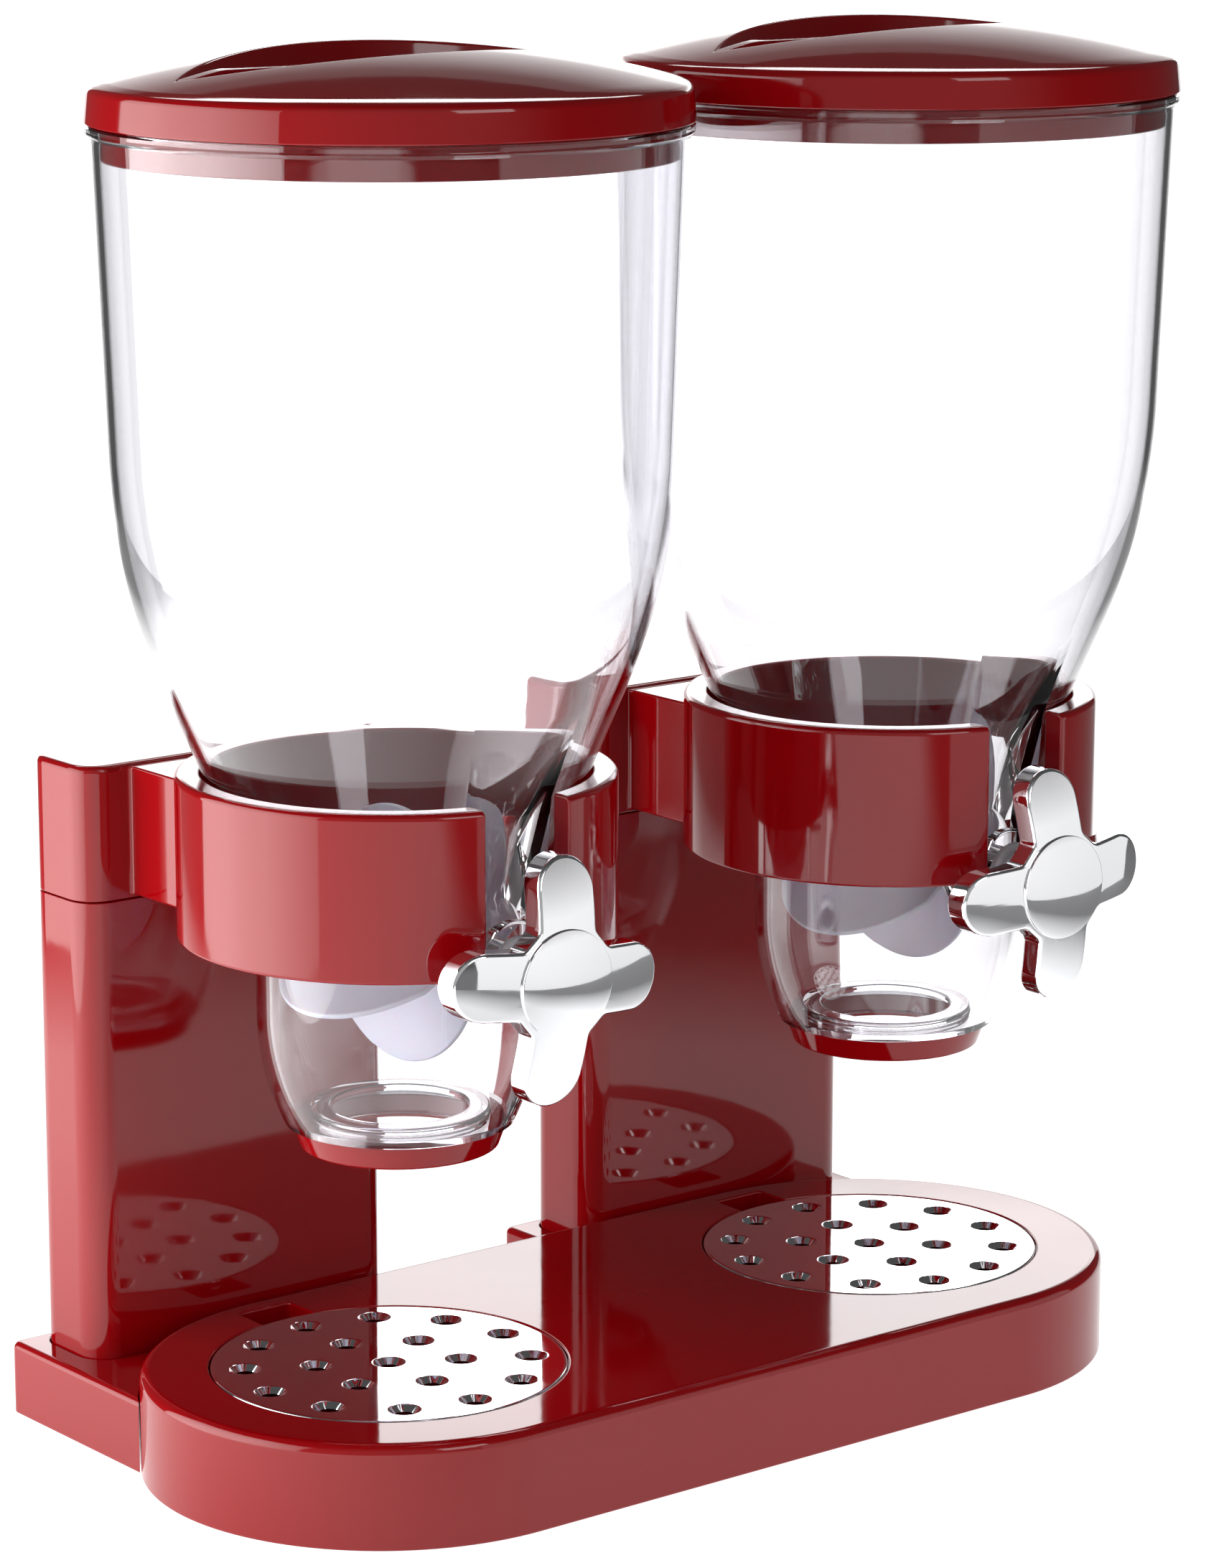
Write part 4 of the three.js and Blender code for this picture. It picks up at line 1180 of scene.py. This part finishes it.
def stage_sheet(name, width, height, place, facing, paint):
    """A flat sheet of the studio, lying level or standing with its face towards a point.

    The standing sheets only light the object and show in its reflections, so they block no view.
    """
    bm = bmesh.new()
    bmesh.ops.create_grid(bm, x_segments=24, y_segments=24, size=0.5)
    bmesh.ops.scale(bm, verts=bm.verts, vec=(width, height, 1))
    mesh = bpy.data.meshes.new(name)
    bm.to_mesh(mesh)
    bm.free()
    sheet = bpy.data.objects.new(name, mesh)
    sheet.location = place
    if facing is not None:
        sheet.rotation_euler = (Vector(facing) - Vector(place)).to_track_quat("Z", "Y").to_euler()
        sheet.visible_camera = False
    bpy.context.scene.collection.objects.link(sheet)
    sheet.data.materials.append(paint.material)
    return sheet


def fade(paint, axis, start, end, low, high):
    """A value that runs from low to high along an axis of the object."""
    along = paint.tree.nodes.new("ShaderNodeVectorMath")
    along.operation = "DOT_PRODUCT"
    along.inputs[1].default_value = axis
    paint.tree.links.new(paint.place, along.inputs[0])
    return paint.between(along.outputs["Value"], low, high, start, end)


def glowing(name, base, fades):
    """A pale sheet that glows; its strength is the product of several fades."""
    paint = Paint(name)
    paint.set(Roughness=0.9, Emission_Color=(1, 1, 1, 1))
    paint.drive("Base Color", paint.mix(paint.noise(3), base, tuple(value + 0.02 for value in base)))
    strength = None
    for settings in fades:
        value = fade(paint, *settings)
        if strength is not None:
            product = paint.tree.nodes.new("ShaderNodeMath")
            product.operation = "MULTIPLY"
            paint.tree.links.new(strength, product.inputs[0])
            paint.tree.links.new(value, product.inputs[1])
            value = product.outputs["Value"]
        strength = value
    paint.drive("Emission Strength", strength)
    return paint


def studio_sheets():
    """A glowing table with a painted pool of light on its left, a backdrop with a bright band, a card on
    the left and a low one in front.
    """
    # The table's glow is painted light: a pool of light on the left, and painted shade behind, in front and
    # to the right.
    bright_left = ((-1, 0, 0), 0.12, 0.3, 1.0, 2.0)
    dim_behind = ((-0.62, 0.78, 0), 0.54, 0.7, 1.0, 0.05)
    dim_front = ((-0.62, -0.78, 0), 0.15, 0.35, 1.0, 0.7)
    dim_right = ((0.78, -0.62, 0), 0.3, 0.45, 1.0, 0.05)
    table = glowing("glowing table", (0.25, 0.25, 0.25), [bright_left, dim_behind, dim_front, dim_right])
    stage_sheet("floor", 8, 8, (0, 0, 0), None, table)
    even = ((0, 1, 0), 0.0, 1.0, 1.0, 1.0)
    far_table = glowing("far table", (0.25, 0.25, 0.25), [even])
    far = stage_sheet("far floor", 2.4, 8, (3.2, 4.04, 0.0005), None, far_table)
    far.rotation_euler.z = radians(VIEW_TURN)
    far.visible_diffuse = False
    far.visible_glossy = False
    far.visible_transmission = False
    rise = ((0, 1, 0), -0.19, -0.13, 0.31, 1.0)
    band = ((0, 1, 0), 0.0, 0.12, 3.6, 1.0)
    fade_up = ((0, 1, 0), 0.12, 0.42, 1.0, 0.05)
    backdrop = glowing("backdrop", (0.3, 0.3, 0.3), [rise, band, fade_up])
    stage_sheet("backdrop", 1.2, 1.0, (0.745, 0.94, 0.5), (0, 0, 0.5), backdrop)
    back_edge = ((1, 0, 0), -0.42, -0.1, 0.5, 1.0)
    front_edge = ((1, 0, 0), 0.15, 0.42, 1.0, 0.6)
    height = ((0, 1, 0), 0.0, 0.3, 4.6, 2.8)
    left = glowing("left card", (0.3, 0.3, 0.3), [back_edge, front_edge, height])
    stage_sheet("left card", 0.84, 0.62, (-0.58, 0.2, 0.31), (-0.1, 0, 0.31), left)
    front = glowing("front card", (0.3, 0.3, 0.3), [((0, 1, 0), 0.02, 0.17, 0.7, 0.1)])
    stage_sheet("front card", 0.9, 0.36, (0.33, -0.52, 0.18), (0, -0.07, 0.18), front)


def studio_world():
    """Dim, even surroundings, a little brighter behind the camera and greyer overhead."""
    world = bpy.data.worlds.new("studio")
    world.use_nodes = True
    bpy.context.scene.world = world
    tree = world.node_tree
    direction = tree.nodes.new("ShaderNodeTexCoord").outputs["Generated"]
    along = tree.nodes.new("ShaderNodeVectorMath")
    along.operation = "DOT_PRODUCT"
    along.inputs[1].default_value = Vector((-0.6, -0.8, 0)).normalized()
    tree.links.new(direction, along.inputs[0])
    ramp = tree.nodes.new("ShaderNodeMapRange")
    ramp.interpolation_type = "SMOOTHSTEP"
    for name, number in (("From Min", 0.3), ("From Max", 0.9), ("To Min", 0.07), ("To Max", 0.4)):
        ramp.inputs[name].default_value = number
    tree.links.new(along.outputs["Value"], ramp.inputs["Value"])
    background = tree.nodes["Background"]
    background.inputs["Color"].default_value = (1, 1, 1, 1)
    tree.links.new(ramp.outputs["Result"], background.inputs["Strength"])


def softbox(name, place, target, width, height, power):
    """A rectangular soft light that faces a point."""
    light = bpy.data.lights.new(name, "AREA")
    light.shape = "RECTANGLE"
    light.size = width
    light.size_y = height
    light.energy = power
    lamp = bpy.data.objects.new(name, light)
    lamp.location = place
    lamp.rotation_euler = (Vector(target) - Vector(place)).to_track_quat("-Z", "Y").to_euler()
    bpy.context.scene.collection.objects.link(lamp)


def studio_lights():
    softbox("front fill", (-0.1, -1.5, 0.9), (0, 0, 0.2), 0.6, 0.6, 4)
    softbox("top strip", (0.57, 0.73, 1.285), (0, 0, 0.385), 1.3, 0.22, 6.2)


def studio_camera():
    """The product view: from the front left and slightly above."""
    place = Vector((-0.8491, -1.06575, 0.4729))
    turn, tilt = radians(VIEW_TURN), radians(12.19)
    back = Vector((sin(turn) * cos(tilt), -cos(turn) * cos(tilt), sin(tilt)))
    right = Vector((cos(turn), sin(turn), 0))
    axes = Matrix((right, back.cross(right), back)).transposed().to_4x4()
    camera = bpy.data.cameras.new("camera")
    camera.lens = 115.08
    camera.sensor_width = 36
    camera.shift_x = 0.0014
    viewpoint = bpy.data.objects.new("camera", camera)
    viewpoint.matrix_world = Matrix.Translation(place) @ axes
    bpy.context.scene.collection.objects.link(viewpoint)
    bpy.context.scene.camera = viewpoint


def main():
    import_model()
    builders = (
        red_plastic,
        clear_plastic,
        chrome_plate,
        soft_silicone,
        white_plastic,
        axle_steel,
        screw_steel,
        foot_rubber,
    )
    materials = {build.__name__: build() for build in builders}
    units = [Unit("left"), Unit("right")]
    dress(base_shell(units), "base_shell", "stand", materials["red_plastic"])
    for unit in units:
        dress_unit(unit, materials)
    studio_sheets()
    studio_world()
    studio_lights()
    studio_camera()
    bpy.context.scene.view_settings.view_transform = "Standard"


main()
